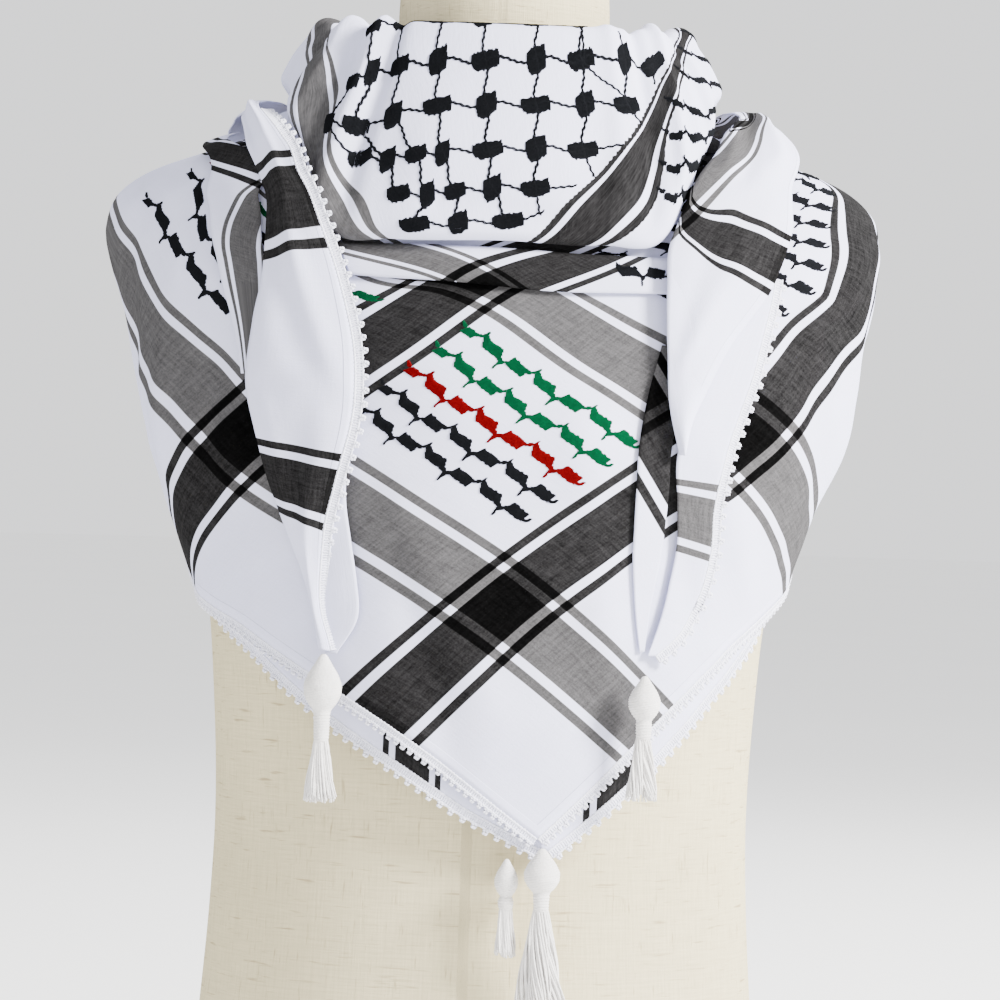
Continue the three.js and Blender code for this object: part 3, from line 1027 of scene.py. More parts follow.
def right_tail_map(u: np.ndarray, v: np.ndarray, points: np.ndarray) -> np.ndarray:
    """The hem is at u = 1; the dark band falls towards it and a grey one crosses the top.

    Args:
        u: places across.
        v: places along.
        points: the same places as points, mm.

    Returns:
        (P, 2) distances from the two hems, mm.
    """
    width = np.interp(v, [0, 70, 110, 150, 185, 220, 255, 460], [2, 25, 45, 64, 92, 118, 130, 150])
    middle = 168 - 40 * np.sqrt(np.clip(u, 0, 1))
    slope = 1.2 + 1.2 * smoothstep((0.45 - u) / 0.45)
    return np.stack([1 + (1 - u) * width, 110 + (v - middle) * slope], 1)


RIGHT_TAIL = Mapped(
    "right_end",
    [0, 1],
    [0, 18, 40, 70, 110, 150, 185, 220, 255, 285, 320, 370, 460],
    [
        [[30.3, 437, 9], [31.3, 437, 9]],
        [[28.4, 452, 9], [31.6, 454, 9]],
        [[27.1, 467, 9], [33.2, 470, 9]],
        [[25.9, 494, 10], [36.6, 496, 9]],
        [[24.7, 529, 12], [42.9, 531, 10]],
        [[24.9, 556, 16], [45.3, 561, 13]],
        [[30, 587, 20], [48, 586, 15]],
        [[43, 609, 20], [60, 604, 17]],
        [[65, 621, 19], [74, 614, 18]],
        [[88, 628, 17], [88, 617, 17]],
        [[110, 631, 13], [108, 609, 13]],
        [[134, 635, 10], [130, 601, 11]],
        [[190, 641, 10], [190, 592, 13]],
    ],
    (60.0, 1.0),
    crown=4.0,
    folds=[
        Fold((44, 160), (14, 60), 9, 1.8),
        Fold((20, 150), (10, 70), 7, -1.4),
        Fold((12, 260), (26, 185), 7, -2.8),
        Fold((30, 270), (44, 200), 7, 2.6),
        Fold((4, 240), (12, 190), 5, 2.2),
        Fold((42, 330), (40, 240), 7, -2.0),
        Fold((22, 420), (26, 300), 9, 2.4),
    ],
    pitch=2.2,
    rule=right_tail_map,
)


def border_map(u: np.ndarray, v: np.ndarray, points: np.ndarray) -> np.ndarray:
    """Hem strip with the end of a grey band across it."""
    return np.stack([np.minimum(88 + (v - 91) * 1.3, 188), 20 + u * 20], 1)


BORDER = Mapped(
    "right_end_border",
    [0, 1],
    [0, 25, 50, 75, 97, 120, 147, 180, 210, 238, 255],
    [
        [[31.4, 322, 5], [33, 322, 5]],
        [[33.6, 342, 5], [38.8, 337, 5]],
        [[34.7, 362, 5], [42.2, 358, 5]],
        [[34.6, 386, 5], [42, 381, 5]],
        [[32.6, 410, 5], [40, 406, 5]],
        [[30.7, 432, 5], [39.3, 431, 5]],
        [[31, 458, 5], [40.9, 459, 5]],
        [[33.4, 485, 5], [42.8, 487, 5]],
        [[36.8, 509, 5], [43.8, 512, 5]],
        [[40.4, 526, 5], [44.2, 531, 5]],
        [[42.4, 536, 5], [44.2, 540, 5]],
    ],
    (26.0, 1.0),
    pitch=2.0,
    rule=border_map,
)


def right_under_map(u: np.ndarray, v: np.ndarray, points: np.ndarray) -> np.ndarray:
    """A dark band falling steeply to the right, by place over the chest.

    Args:
        u: places across.
        v: places along.
        points: the same places as points, mm.

    Returns:
        (P, 2) distances from the two hems, mm.
    """
    b = 92.5 + 0.84 * (points[:, 0] - 97) + 0.54 * (points[:, 2] - 411)
    a = 150 + 0.54 * (points[:, 0] - 97) - 0.84 * (points[:, 2] - 411)
    return np.stack([a, b], 1)


RIGHT_UNDER = Mapped(
    "right_end_lower",
    [0, 1],
    [0, 28, 58, 90, 120, 150, 180],
    [
        [[30, 324, 2.7], [31, 324, 2.7]],
        [[28.2, 350, 2.7], [31.6, 350, 2.7]],
        [[26.2, 378, 2.7], [32, 378, 2.7]],
        [[24.7, 411, 2.7], [31, 411, 2.7]],
        [[23.8, 439, 2.7], [29.6, 439, 2.7]],
        [[24.3, 470, 2.7], [29.6, 470, 2.7]],
        [[25.6, 498, 2.7], [29.8, 498, 2.7]],
    ],
    (20.0, 1.0),
    pitch=2.0,
    rule=right_under_map,
)


# ---- neck roll -----------------------------------------------------------------------


def between_lines(
    lines: np.ndarray, values: list[float], ends: tuple, at: np.ndarray
) -> np.ndarray:
    """Straight-line values between lines that move from place to place.

    Args:
        lines: (P, 3) places of three lines at each point.
        values: the value on each of them.
        ends: fixed places and their values, the first before the lines and the rest after.
        at: P places.

    Returns:
        P values.
    """
    spots, marks = ends
    fixed = np.broadcast_to(np.array(spots, float), (len(at), len(spots)))
    knots = np.concatenate([fixed[:, :1], lines, fixed[:, 1:]], 1)
    marks = np.array([marks[0], *values, *marks[1:]], float)
    span = np.maximum(np.diff(knots, axis=1), 1e-6)
    share = np.clip((at[:, None] - knots[:, :-1]) / span, 0, 1)
    return marks[0] + np.sum(share * np.diff(marks), axis=1)


@dataclass
class NeckRoll(Stretch):
    """The loose roll of cloth round the neck; u is the share of its section, v degrees."""

    def face(self, t: np.ndarray, degrees: np.ndarray) -> np.ndarray:
        """Crest to fold line by line: crest + share down*(fold-crest) + outwards*belly.

        Args:
            t: share of the section, from the inner edge to the outer.
            degrees: directions round the neck.

        Returns:
            (P, 3) points, mm.
        """
        turned = np.abs(np.where(degrees > 180, degrees - 360, degrees))
        side = np.where((degrees < 0) | (degrees > 180), -1.0, 1.0)
        fold = curve(ROLL_FOLD[:, 0], ROLL_FOLD[:, 1:], turned)
        low = drape_point(side * fold[:, 0], fold[:, 1], fold[:, 2])
        turn = np.radians(degrees)
        out = np.stack([np.sin(turn), -np.cos(turn), np.zeros(len(turn))], 1)
        rise = CREST_FRONT + (CREST_BACK - CREST_FRONT) * (1 - np.cos(turn)) / 2
        crest = np.stack([CREST_WIDTH * out[:, 0], CREST_DEPTH * out[:, 1], rise], 1)
        section = curve(ROLL_KNOTS, ROLL_SECTION, t)
        return crest + (low - crest) * section[:, :1] + out * section[:, 1:]

    def surface(
        self, u: np.ndarray, v: np.ndarray, raised: float | np.ndarray = 0.0
    ) -> np.ndarray:
        """The face lifted along its own normal by its folds.

        Args:
            u: shares of the section.
            v: directions, degrees.
            raised: height off the face, mm.

        Returns:
            (P, 3) points, mm.
        """
        step, turn = 0.004, 0.2
        low, high = np.clip(u - step, 0, 1), np.clip(u + step, 0, 1)
        along = self.face(high, v) - self.face(low, v)
        around = self.face(u, v + turn) - self.face(u, v - turn)
        normal = unit(np.cross(along, around))
        lift = self.own_lift(v, u) + raised
        return self.face(u, v) + normal * lift[:, None]

    def own_lift(self, degrees: np.ndarray, t: np.ndarray) -> np.ndarray:
        """Folds placed in degrees * ROLL_ARC and share of the section * ROLL_DROP.

        Args:
            degrees: directions.
            t: shares of the section.

        Returns:
            Lift at each place, mm.
        """
        lift = np.zeros(len(t))
        for fold in self.folds:
            lift += fold.lift(degrees * ROLL_ARC, t * ROLL_DROP)
        return lift

    def cloth_map(self, u: np.ndarray, v: np.ndarray, points: np.ndarray) -> np.ndarray:
        """Distances from the two hems, by rows down the section and columns round it.

        Args:
            u: shares of the section.
            v: directions, degrees.
            points: the same places as points, mm.

        Returns:
            (P, 2) distances, mm.
        """
        grey = curve(ROLL_ROWS, np.array(GREY_LINES, float), u)
        dark = curve(ROLL_ROWS, np.array(DARK_LINES, float), u)
        a = between_lines(grey, [227, 253, 279], GREY_ENDS, v)
        b = between_lines(dark, [316, 290, 264], DARK_ENDS, v)
        return np.stack([a, b], 1)


ROLL_FOLD = np.array(
    [
        [0, 0, 549, 10],
        [29, 15, 549, 10],
        [42, 23.5, 553, 9],
        [50, 27, 577, 9],
        [56.5, 32, 598, 9],
        [65, 49, 619, 9],
        [83, 80, 634, 9],
        [120, 120, 642, 8],
        [180, 180, 648, 8],
    ],
    float,
)
CREST_WIDTH, CREST_DEPTH, CREST_FRONT, CREST_BACK = 107, 84, 683, 698
ROLL_SECTION = np.array(
    [[0.12, -14], [0.03, -9], [0, -1], [0.25, 7],
     [0.55, 12], [0.8, 12], [0.97, 4], [0.99, -1], [0.955, -5]]
)
ROLL_KNOTS = [0, 0.06, 0.12, 0.33, 0.56, 0.76, 0.91, 0.96, 1]
ROLL_JOIN = 96
ROLL_ARC = 2.1  # mm a degree round the front of the roll
ROLL_DROP = 166.0  # mm of the whole section
ROLL_ROWS = [0, 0.12, 0.25, 0.4, 0.52, 0.64, 0.76, 0.88, 1]
# Degrees at which lines of equal distance from a hem lie, one row for each share of the section.
GREY_LINES = [
    [-90, -80, -68],
    [-86, -76, -66],
    [-80, -70, -62],
    [-74, -62, -50],
    [-66, -54, -45.5],
    [-62, -52, -42],
    [-58, -47, -34],
    [-50, -40, -31],
    [-44, -35, -28],
]
DARK_LINES = [
    [84, 90, 96],
    [74, 79, 85],
    [62, 66.5, 72],
    [43.5, 49.5, 58],
    [35, 39, 46],
    [27.5, 33.5, 41.7],
    [18.5, 28, 38.5],
    [11.8, 21.5, 32.5],
    [6, 16, 27],
]
GREY_ENDS = ([-100, 20, 100, 112, 262, 300], [213, 400, 474, 480, 216, 205])
DARK_ENDS = ([-100, 112, 262, 300], [430, 165, 428, 440])
ROLL_FOLDS = [
    Fold((a[0] * ROLL_ARC, a[1] * ROLL_DROP), (b[0] * ROLL_ARC, b[1] * ROLL_DROP), w, 1.35 * h)
    for a, b, w, h in [
        ((-33, 0.10), (-38, 0.80), 5.0, -2.6),
        ((-40, 0.06), (-44, 0.85), 5.0, 2.8),
        ((-48, 0.08), (-50, 0.80), 5.0, -3.0),
        ((-56, 0.06), (-58, 0.75), 6.0, 2.8),
        ((-66, 0.08), (-68, 0.70), 6.0, -2.4),
        ((-78, 0.06), (-80, 0.75), 7.0, 2.2),
        ((34, 0.10), (30, 0.85), 6.0, 1.6),
        ((44, 0.08), (38, 0.80), 5.0, -2.6),
        ((54, 0.06), (47, 0.75), 5.0, 3.0),
        ((64, 0.08), (60, 0.70), 6.0, -2.6),
        ((76, 0.06), (74, 0.75), 7.0, 2.4),
        ((-24, 0.62), (20, 0.60), 15.0, 1.4),
        ((-18, 0.78), (16, 0.84), 9.0, -1.6),
        ((-22, 0.24), (26, 0.22), 14.0, -1.2),
        ((110, 0.10), (112, 0.80), 7.0, 2.2),
        ((130, 0.10), (128, 0.80), 7.0, -2.0),
        ((150, 0.10), (152, 0.80), 8.0, 2.2),
        ((172, 0.10), (174, 0.80), 8.0, -2.0),
        ((196, 0.10), (194, 0.80), 8.0, 2.2),
        ((218, 0.10), (220, 0.80), 7.0, -2.0),
        ((240, 0.10), (238, 0.80), 7.0, 2.2),
    ]
]


def roll(name: str, start: float, end: float) -> NeckRoll:
    """The stretch of the neck roll between two directions."""
    span = (ROLL_DROP, ROLL_ARC)
    return NeckRoll(name, [0, 1], [start, end], [], span, folds=ROLL_FOLDS, pitch=2.3)


# ---- embroidery ----------------------------------------------------------------------

# One repeat of a bird row, mm along the row and off it; the row starts with a short block.
SHORT_BLOCK = [(-15.9, 0.6), (-15.1, 5.4), (-6.8, 5.6), (-8.6, 0.4)]
ANTENNA = [(-15.9, 4.6), (-17.6, 5.0), (-19.4, 6.2), (-19.2, 7.3), (-17.2, 6.6), (-15.3, 5.6)]
FIRST_LINK = [(-7.2, 3.6), (-6.9, 5.2), (-4.6, 7.6),
    (-4.6, 10.4), (-3.9, 10.4), (-3.4, 8.0), (-4.8, 5.2)]
STEEP_BLOCK = [(-4.3, 9), (-1.4, 7.3), (0.6, 6.1),
    (9.5, 6.4), (11.9, 2.7), (14.7, 0.2), (14.5, -2)]
STEEP_BLOCK += [(11.8, -0.4), (0, 0), (-4.1, 5.7)]
SPIKE = [(13.6, -1.0), (14.2, -3.8), (14.9, -6.8), (15.5, -6.7),
    (15.3, -3.6), (16.9, -0.4), (17.2, 1.8), (14.8, 0.6)]
FLAT_BLOCK = [(16.6, 0.1), (18.0, 6.4), (29.4, 5.0), (29.4, -0.95), (21.9, -0.93)]
NEXT_LINK = [(29.0, 3.0), (30.4, 3.4), (32.4, 5.0), (33.5, 8.4)]
NEXT_LINK += [(33.1, 10.4), (32.5, 10.2), (32.2, 7.4), (30.0, 4.9), (29.0, 4.9)]
HOOK = [(29.0, 1.6), (30.4, 1.2), (31.6, 2.2), (31.8, 3.8)]
HOOK += [(32.7, 3.8), (32.8, 1.6), (31.2, -0.2), (29.0, 0.0)]
REPEAT = 37.2
STITCH = 0.55  # pitch of satin stitches, mm


@dataclass
class Embroidery:
    """Satin stitches on one stretch, each a low ridge of thread that follows the cloth."""

    cloth: Stretch
    # Turns (P, 2) millimetres on the cloth into the stretch's u and v.
    to_place: Callable[[np.ndarray], tuple[np.ndarray, np.ndarray]]
    width: float = 0.62
    height: float = 0.7
    ends: list[list[np.ndarray]] = field(default_factory=list)

    def fill(self, outline: np.ndarray, lean: float, seed: int) -> None:
        """Fills an outline with parallel stitches cut where it ends.

        Args:
            outline: (N, 2) corners, mm on the cloth.
            lean: direction of the stitches, degrees from the cloth's first axis.
            seed: fixes the small unevenness of the stitches' ends.
        """
        draw = np.random.default_rng(seed)
        turn = math.radians(lean)
        line = np.array([math.cos(turn), math.sin(turn)])
        step = np.array([-line[1], line[0]])
        along, beside = outline @ line, outline @ step
        levels = np.arange(beside.min() + STITCH / 2, beside.max(), STITCH)
        nxt_along, nxt_beside = np.roll(along, -1), np.roll(beside, -1)
        low = np.minimum(beside, nxt_beside)[None] <= levels[:, None]
        crossed = low & (np.maximum(beside, nxt_beside)[None] > levels[:, None])
        rise = np.where(np.abs(nxt_beside - beside) < 1e-9, 1e-9, nxt_beside - beside)
        hits = along + (levels[:, None] - beside) * (nxt_along - along) / rise
        steps = draw.uniform(-0.5, 0.5, (len(levels) // 2 + 1, 2))
        for number, (level, row, mask) in enumerate(zip(levels, hits, crossed)):
            cuts = np.sort(row[mask])
            for first, last in zip(cuts[::2], cuts[1::2]):
                if last - first < 0.3:
                    continue
                first, last = np.array([first - 0.4, last + 0.4]) + steps[number // 2]
                self.ends.append([line * first + step * level, line * last + step * level])

    def rope(self, path: np.ndarray, width: float) -> None:
        """Short leaning stitches one after another along a path, mm on the cloth.

        Args:
            path: (N, 2) points, mm on the cloth.
            width: length of each stitch across the rope, mm.
        """
        gaps = np.hypot(*np.diff(path, axis=0).T)
        length = np.concatenate([[0], np.cumsum(gaps)])
        count = max(3, int(length[-1] / 0.62))
        at = np.linspace(0, length[-1], count)
        middle = np.stack([np.interp(at, length, path[:, k]) for k in (0, 1)], 1)
        direction = unit(np.gradient(middle, axis=0))
        side = np.stack([-direction[:, 1], direction[:, 0]], 1)
        wave = np.sin(np.arange(count) * 0.95)[:, None] * 0.3
        lean = direction * 0.5 + side * width * 0.5
        for centre, reach in zip(middle + side * wave, lean):
            self.ends.append([centre - reach, centre + reach])

    def shape(self) -> Shape:
        """Every stitch as five cross-sections of three points: edge, crest, edge."""
        ends = np.array(self.ends)
        start, end = ends[:, 0], ends[:, 1]
        side = unit(end - start) @ np.array([[0, 1], [-1, 0]]) * self.width / 2
        share = np.array([0, 0.16, 0.5, 0.84, 1])
        tall = np.array([0.25, 1, 1, 1, 0.25]) * self.height
        across = np.array([-1, 0, 1])
        flat = (
            start[:, None, None] * (1 - share)[None, :, None, None]
            + end[:, None, None] * share[None, :, None, None]
            + side[:, None, None] * across[None, None, :, None]
        )
        crest = np.array([0.12, 1, 0.12])
        raised = np.broadcast_to((tall[:, None] * crest)[None], (len(ends), 5, 3)).ravel()
        u, v = self.to_place(flat.reshape(-1, 2))
        points = self.cloth.surface(u, v, raised)
        block = np.arange(len(ends))[:, None, None] * 15
        faces = (grid_faces(5, 3)[None] + block).reshape(-1, 4)
        return Shape(points, [faces])


def bird_row(pen: Embroidery, place_of: Places, repeats: int, skip: float = -99.0) -> None:
    """One row of linked blocks, a short one and then pairs of a steep and a flat one.

    Args:
        pen: the embroidery that the stitches go to.
        place_of: turns (N, 2) millimetres along and off the row into the cloth's.
        repeats: how many pairs.
        skip: parts that start before this many millimetres along the row are left out.
    """
    parts = [(SHORT_BLOCK, 0), (ANTENNA, 0), (FIRST_LINK, 0)]
    for k in range(repeats):
        parts += [(part, k * REPEAT) for part in (STEEP_BLOCK, SPIKE, FLAT_BLOCK)]
        parts.append((NEXT_LINK if k < repeats - 1 else HOOK, k * REPEAT))
    for number, (part, along) in enumerate(parts):
        outline = np.array(part, float) + [along, -3.0]
        if outline[:, 0].min() >= skip:
            pen.fill(place_of(outline), 45, number)


def on_front(at: np.ndarray) -> tuple[np.ndarray, np.ndarray]:
    """The front cloth's places are millimetres already."""
    return at[:, 0], at[:, 1]


def on_roll(at: np.ndarray) -> tuple[np.ndarray, np.ndarray]:
    """Millimetres round the roll and up from its fold as section share and degrees."""
    return 0.91 - at[:, 1] / ROLL_DROP, at[:, 0] / ROLL_ARC


def row_place(middle: float, start: float, bend: float = 0.0) -> Places:
    """A row on the front cloth parallel to the grey bands.

    Args:
        middle: its distance from the left-rising hem, mm.
        start: distance from the right-rising hem at which its first pair starts, mm.
        bend: how fast it turns away above 390 mm, mm a mm.

    Returns:
        A function from (N, 2) millimetres along and off the row to the cloth's.
    """

    def to_cloth(at: np.ndarray) -> np.ndarray:
        """Distances from the two hems."""
        b = start - at[:, 0]
        a = middle + at[:, 1] + bend * np.maximum(b - 390, 0)
        return np.stack([a, b], 1)

    return to_cloth


def front_rows(work: dict[Yarn, Embroidery]) -> None:
    """Rows of the chest square and of both shoulders, parallel to the grey bands.

    Args:
        work: the embroidery of each yarn on the front cloth.
    """
    yarns = [Yarn.BLACK, Yarn.BLACK, Yarn.RED, Yarn.GREEN, Yarn.GREEN]
    middles = [138, 156, 173.5, 192.5, 212]
    for middle, yarn in zip(middles, yarns):
        bird_row(work[yarn], row_place(middle, 249), 3)
    shoulder = [Yarn.BLACK, Yarn.BLACK, Yarn.RED, Yarn.BLACK, Yarn.GREEN]
    for middle, yarn, bend in zip(middles, shoulder, (0.0, 0.45, 0.62, 0.5, 0.5)):
        bird_row(work[yarn], row_place(middle, 417, bend), 3)
    for k in range(9):
        middle = 305 + 19.2 * k
        bird_row(work[Yarn.BLACK], row_place(middle, 247 + max(0.0, middle - 350) * 0.6), 3)


# Knots of the net on the roll: degrees and millimetres up from its fold, each row from the
# left; the first number of a row is its first column.
NET_KNOTS = [
    (2, [(-42, 119), (-34, 128), (-20, 131), (-6.5, 130), (9.8, 131), (24.3, 133)]),
    (1, [(-43, 88), (-38.3, 97), (-30.6, 101), (-19, 104),
      (-5, 105), (9.8, 106), (23.3, 107), (36.8, 108), (47, 103)]),
    (1, [(-47, 58), (-38.7, 66), (-29.4, 72), (-17.6, 78),
      (-4, 79), (9.4, 80), (23.3, 82), (34.9, 82)]),
    (1, [(-36, 49), (-29, 46), (-21.9, 49), (-15, 50), (-3.1, 52), (9.4, 54), (21.9, 55)]),
    (2, [(-25.7, 26), (-18.5, 26), (-11.3, 28), (-1.7, 30), (9.4, 31)]),
    (3, [(-21.9, 8), (-10.4, 9), (2.7, 11)]),
]


# Loose ends of the net, from a knot's degrees and height to the end's.
NET_ENDS = [
    ((36.8, 108), (36.8, 122)),
    ((24.3, 107), (24.3, 133)),
    ((34.9, 82), (38.5, 72)),
    ((23.3, 107), (35.5, 84)),
    ((47, 103), (45.5, 92)),
    ((21.9, 55), (24.5, 40)),
    ((21.9, 55), (32, 58)),
    ((9.4, 30), (11, 16)),
    ((9.4, 30), (20, 34)),
    ((2.7, 8), (12, 18)),
]


def knot_outline(centre: np.ndarray, wide: float, tall: float) -> np.ndarray:
    """Blocky slab that leans up to the right, with stepped corners, about a centre, mm.

    Args:
        centre: middle of the knot.
        wide: size along the row.
        tall: size across it.

    Returns:
        (12, 2) corners, mm.
    """
    steps = [(-1, -0.2), (-0.8, -0.75), (-0.45, -1), (0.3, -0.8), (0.62, -0.55), (1, -0.35)]
    steps += [(1, 0.3), (0.84, 1), (0.4, 0.82), (-0.3, 0.7), (-0.75, 0.5), (-1, 0.35)]
    return centre + np.array(steps) * [wide / 2, tall / 2]


def net_pattern(pen: Embroidery) -> None:
    """Knots that lie flat and stand by turns, joined by thin ropes both ways.

    Args:
        pen: the embroidery that the stitches go to.
    """
    knots = {}
    for r, (first, row) in enumerate(NET_KNOTS):
        for k, (degrees, height) in enumerate(row):
            knots[r, first + k] = np.array([degrees * ROLL_ARC, height])
    for (r, c), at in knots.items():
        beside = [knots[r, n][0] for n in (c - 1, c + 1) if (r, n) in knots]
        gap = min(abs(x - at[0]) for x in beside)
        squeeze = min(1.0, gap / 26.0)
        flat = (r + c) % 2 == 0
        wide, tall = (17.5, 11.5) if flat else (12.0, 17.0)
        outline = knot_outline(at, wide * (0.3 + 0.7 * squeeze), tall * (1 if r else 0.8))
        pen.fill(outline, 90, 1000 + 20 * r + c)
        for other in ((r, c + 1), (r + 1, c)):
            if other in knots:
                level = other[0] == r
                t = np.linspace(0, 1, 13)[:, None]
                path = at * (1 - t) + knots[other] * t
                path[:, 1] += (1.6 if level else 0.0) * np.sin(t[:, 0] * 2 * math.pi)
                path[:, 0] += (0.0 if level else 1.2) * np.sin(t[:, 0] * 2 * math.pi)
                pen.rope(path, 1.5)
    for start, end in NET_ENDS:
        t = np.linspace(0, 1, 7)[:, None]
        path = np.array(start) * (1 - t) + np.array(end) * t
        pen.rope(path * [ROLL_ARC, 1], 1.2)


ROLL_ROW_HEIGHTS = range(124, 10, -15)
ROLL_ROW_SLOPE = 1.25


def roll_rows(work: dict[Yarn, Embroidery]) -> None:
    """Bird rows that turn over the right side of the roll.

    Args:
        work: the embroidery of each yarn on the roll.
    """
    for number, height in enumerate(ROLL_ROW_HEIGHTS):
        degrees = 2.5 + np.interp(height, [25, 45, 65, 85, 110, 131], [38.5, 41.7, 46, 58, 72, 85])

        def place_of(
            at: np.ndarray, height: float = height, degrees: float = degrees
        ) -> np.ndarray:
            """Squeezed off the row and sloping down to the right."""
            along = (at[:, 0] + 16) * 0.85
            rise = height + 10 + at[:, 1] - along * ROLL_ROW_SLOPE
            return np.stack([degrees * ROLL_ARC + along, rise], 1)

        bird_row(work[Yarn.RED if number == 0 else Yarn.BLACK], place_of, 1)


def on_tuck(at: np.ndarray) -> tuple[np.ndarray, np.ndarray]:
    """Millimetres down from the pressed fold's top edge and along it, as its u and v."""
    return at[:, 1] / TUCK.span[0], at[:, 0] / TUCK.span[1]


def tuck_row(pen: Embroidery) -> None:
    """The end of a black row on the right of the pressed fold.

    Args:
        pen: the embroidery that the stitches go to.
    """

    def place_of(at: np.ndarray) -> np.ndarray:
        """Four fifths of the size, along the fold."""
        return np.stack([166 + at[:, 0] * 0.8, 9 - at[:, 1] * 0.8], 1)

    bird_row(pen, place_of, 1, -4.5)


# ---- lace ----------------------------------------------------------------------------


@dataclass
class LaceEdge:
    """Crochet edging: a backing tape, two cords, close rungs and a row of round loops."""

    pitch: float = 7.4
    loop: float = 2.5
    reach: float = 8.6
    rung: float = 1.45
    thread: float = 0.55

    def shape(self, edge: np.ndarray, out: np.ndarray, normal: np.ndarray) -> Shape:
        """Builds the edging along an edge.

        Args:
            edge: (N, 3) points of the hem at equal steps, mm.
            out: (N, 3) directions away from the cloth.
            normal: (N, 3) directions off its face.

        Returns:
            Tape, cords, rungs and loops as one shape.
        """
        gaps = np.linalg.norm(np.diff(edge, axis=0), axis=1)
        length = np.concatenate([[0], np.cumsum(gaps)])

        def at(where: np.ndarray, values: np.ndarray) -> np.ndarray:
            """Values at distances along the edge."""
            return np.stack([np.interp(where, length, values[:, k]) for k in range(3)], 1)

        band = self.reach - self.loop * 1.5
        fine = np.arange(0, length[-1], 0.9)
        shapes = [self.tape(at(fine, edge), at(fine, out), at(fine, normal), band)]
        for away, radius in ((0.5, 0.8), (band, 0.75)):
            wobble = 0.22 * np.sin(fine * 3.3 + away)
            path = at(fine, edge) + at(fine, out) * (away + wobble)[:, None]
            path = path + at(fine, normal) * (wobble * 0.5)[:, None]
            size = radius * (1 + 0.25 * np.sin(fine * 4.4))
            shapes.append(tubes(path[None], size[None], 6))
        rungs = np.arange(0.6, length[-1], self.rung)
        lean = 0.25 * np.sin(rungs * 7.1)
        first = at(rungs, edge) + at(rungs, out) * 0.4
        last = at(rungs + lean, edge) + at(rungs, out) * (band + 0.2)
        t = np.linspace(0, 1, 4)[None, :, None]
        bars = first[:, None] * (1 - t) + last[:, None] * t
        size = np.full(bars.shape[:2], self.thread) * [1.1, 0.85, 0.85, 1.1]
        shapes.append(tubes(bars, size, 5))
        spots = np.arange(self.pitch / 2, length[-1], self.pitch)
        outs, ups = unit(at(spots, out)), unit(at(spots, normal))
        along = np.cross(outs, ups)
        turn = np.linspace(0, 2 * math.pi, 17)
        shift = 0.12 * np.sin(spots * 3.7)
        ring = along[:, None] * (np.sin(turn) * self.loop * 0.46)[:, None]
        ring = ring + outs[:, None] * ((1 - np.cos(turn)) * self.loop * 0.5)[:, None]
        centre = at(spots, edge) + outs * (band + 0.3 + shift)[:, None]
        size = 0.95 + 0.22 * np.cos(turn * 5)
        loops = centre[:, None] + ring
        shapes.append(tubes(loops, np.broadcast_to(size, loops.shape[:2]), 6))
        return join(shapes)

    def tape(self, edge: np.ndarray, out: np.ndarray, normal: np.ndarray, band: float) -> Shape:
        """Thin closed strip under the rungs: a ring of four points carried along the edge.

        Args:
            edge: (N, 3) points, mm.
            out: (N, 3) directions away from the cloth.
            normal: (N, 3) directions off its face.
            band: width, mm.

        Returns:
            The strip.
        """
        corners = np.array([[0.1, -0.45], [band, -0.45], [band, -0.1], [0.1, -0.1]])
        points = edge[:, None] + out[:, None] * corners[:, :1] + normal[:, None] * corners[:, 1:]
        ring = np.arange(4)[None]
        last = ring[:, ::-1] + (len(edge) - 1) * 4
        return Shape(points.reshape(-1, 3), [grid_faces(len(edge), 4, True), ring, last])


def hem_frame(cloth: Stretch, u: np.ndarray, v: np.ndarray, inner: tuple) -> tuple:
    """Edge points, outward directions and normals of a hem.

    Args:
        cloth: the stretch.
        u: places across.
        v: places along.
        inner: the same two arrays just inside the hem.

    Returns:
        Edge, outward and normal arrays.
    """
    edge = cloth.surface(u, v, -0.4)
    within = cloth.surface(*inner, -0.4)
    normal = unit(cloth.surface(u, v, 1.0) - cloth.surface(u, v, 0.0))
    out = unit(edge - within)
    along = unit(np.gradient(edge, axis=0))
    out = unit(out - along * np.sum(out * along, axis=1)[:, None])
    return edge, out, normal


# ---- tassels -------------------------------------------------------------------------


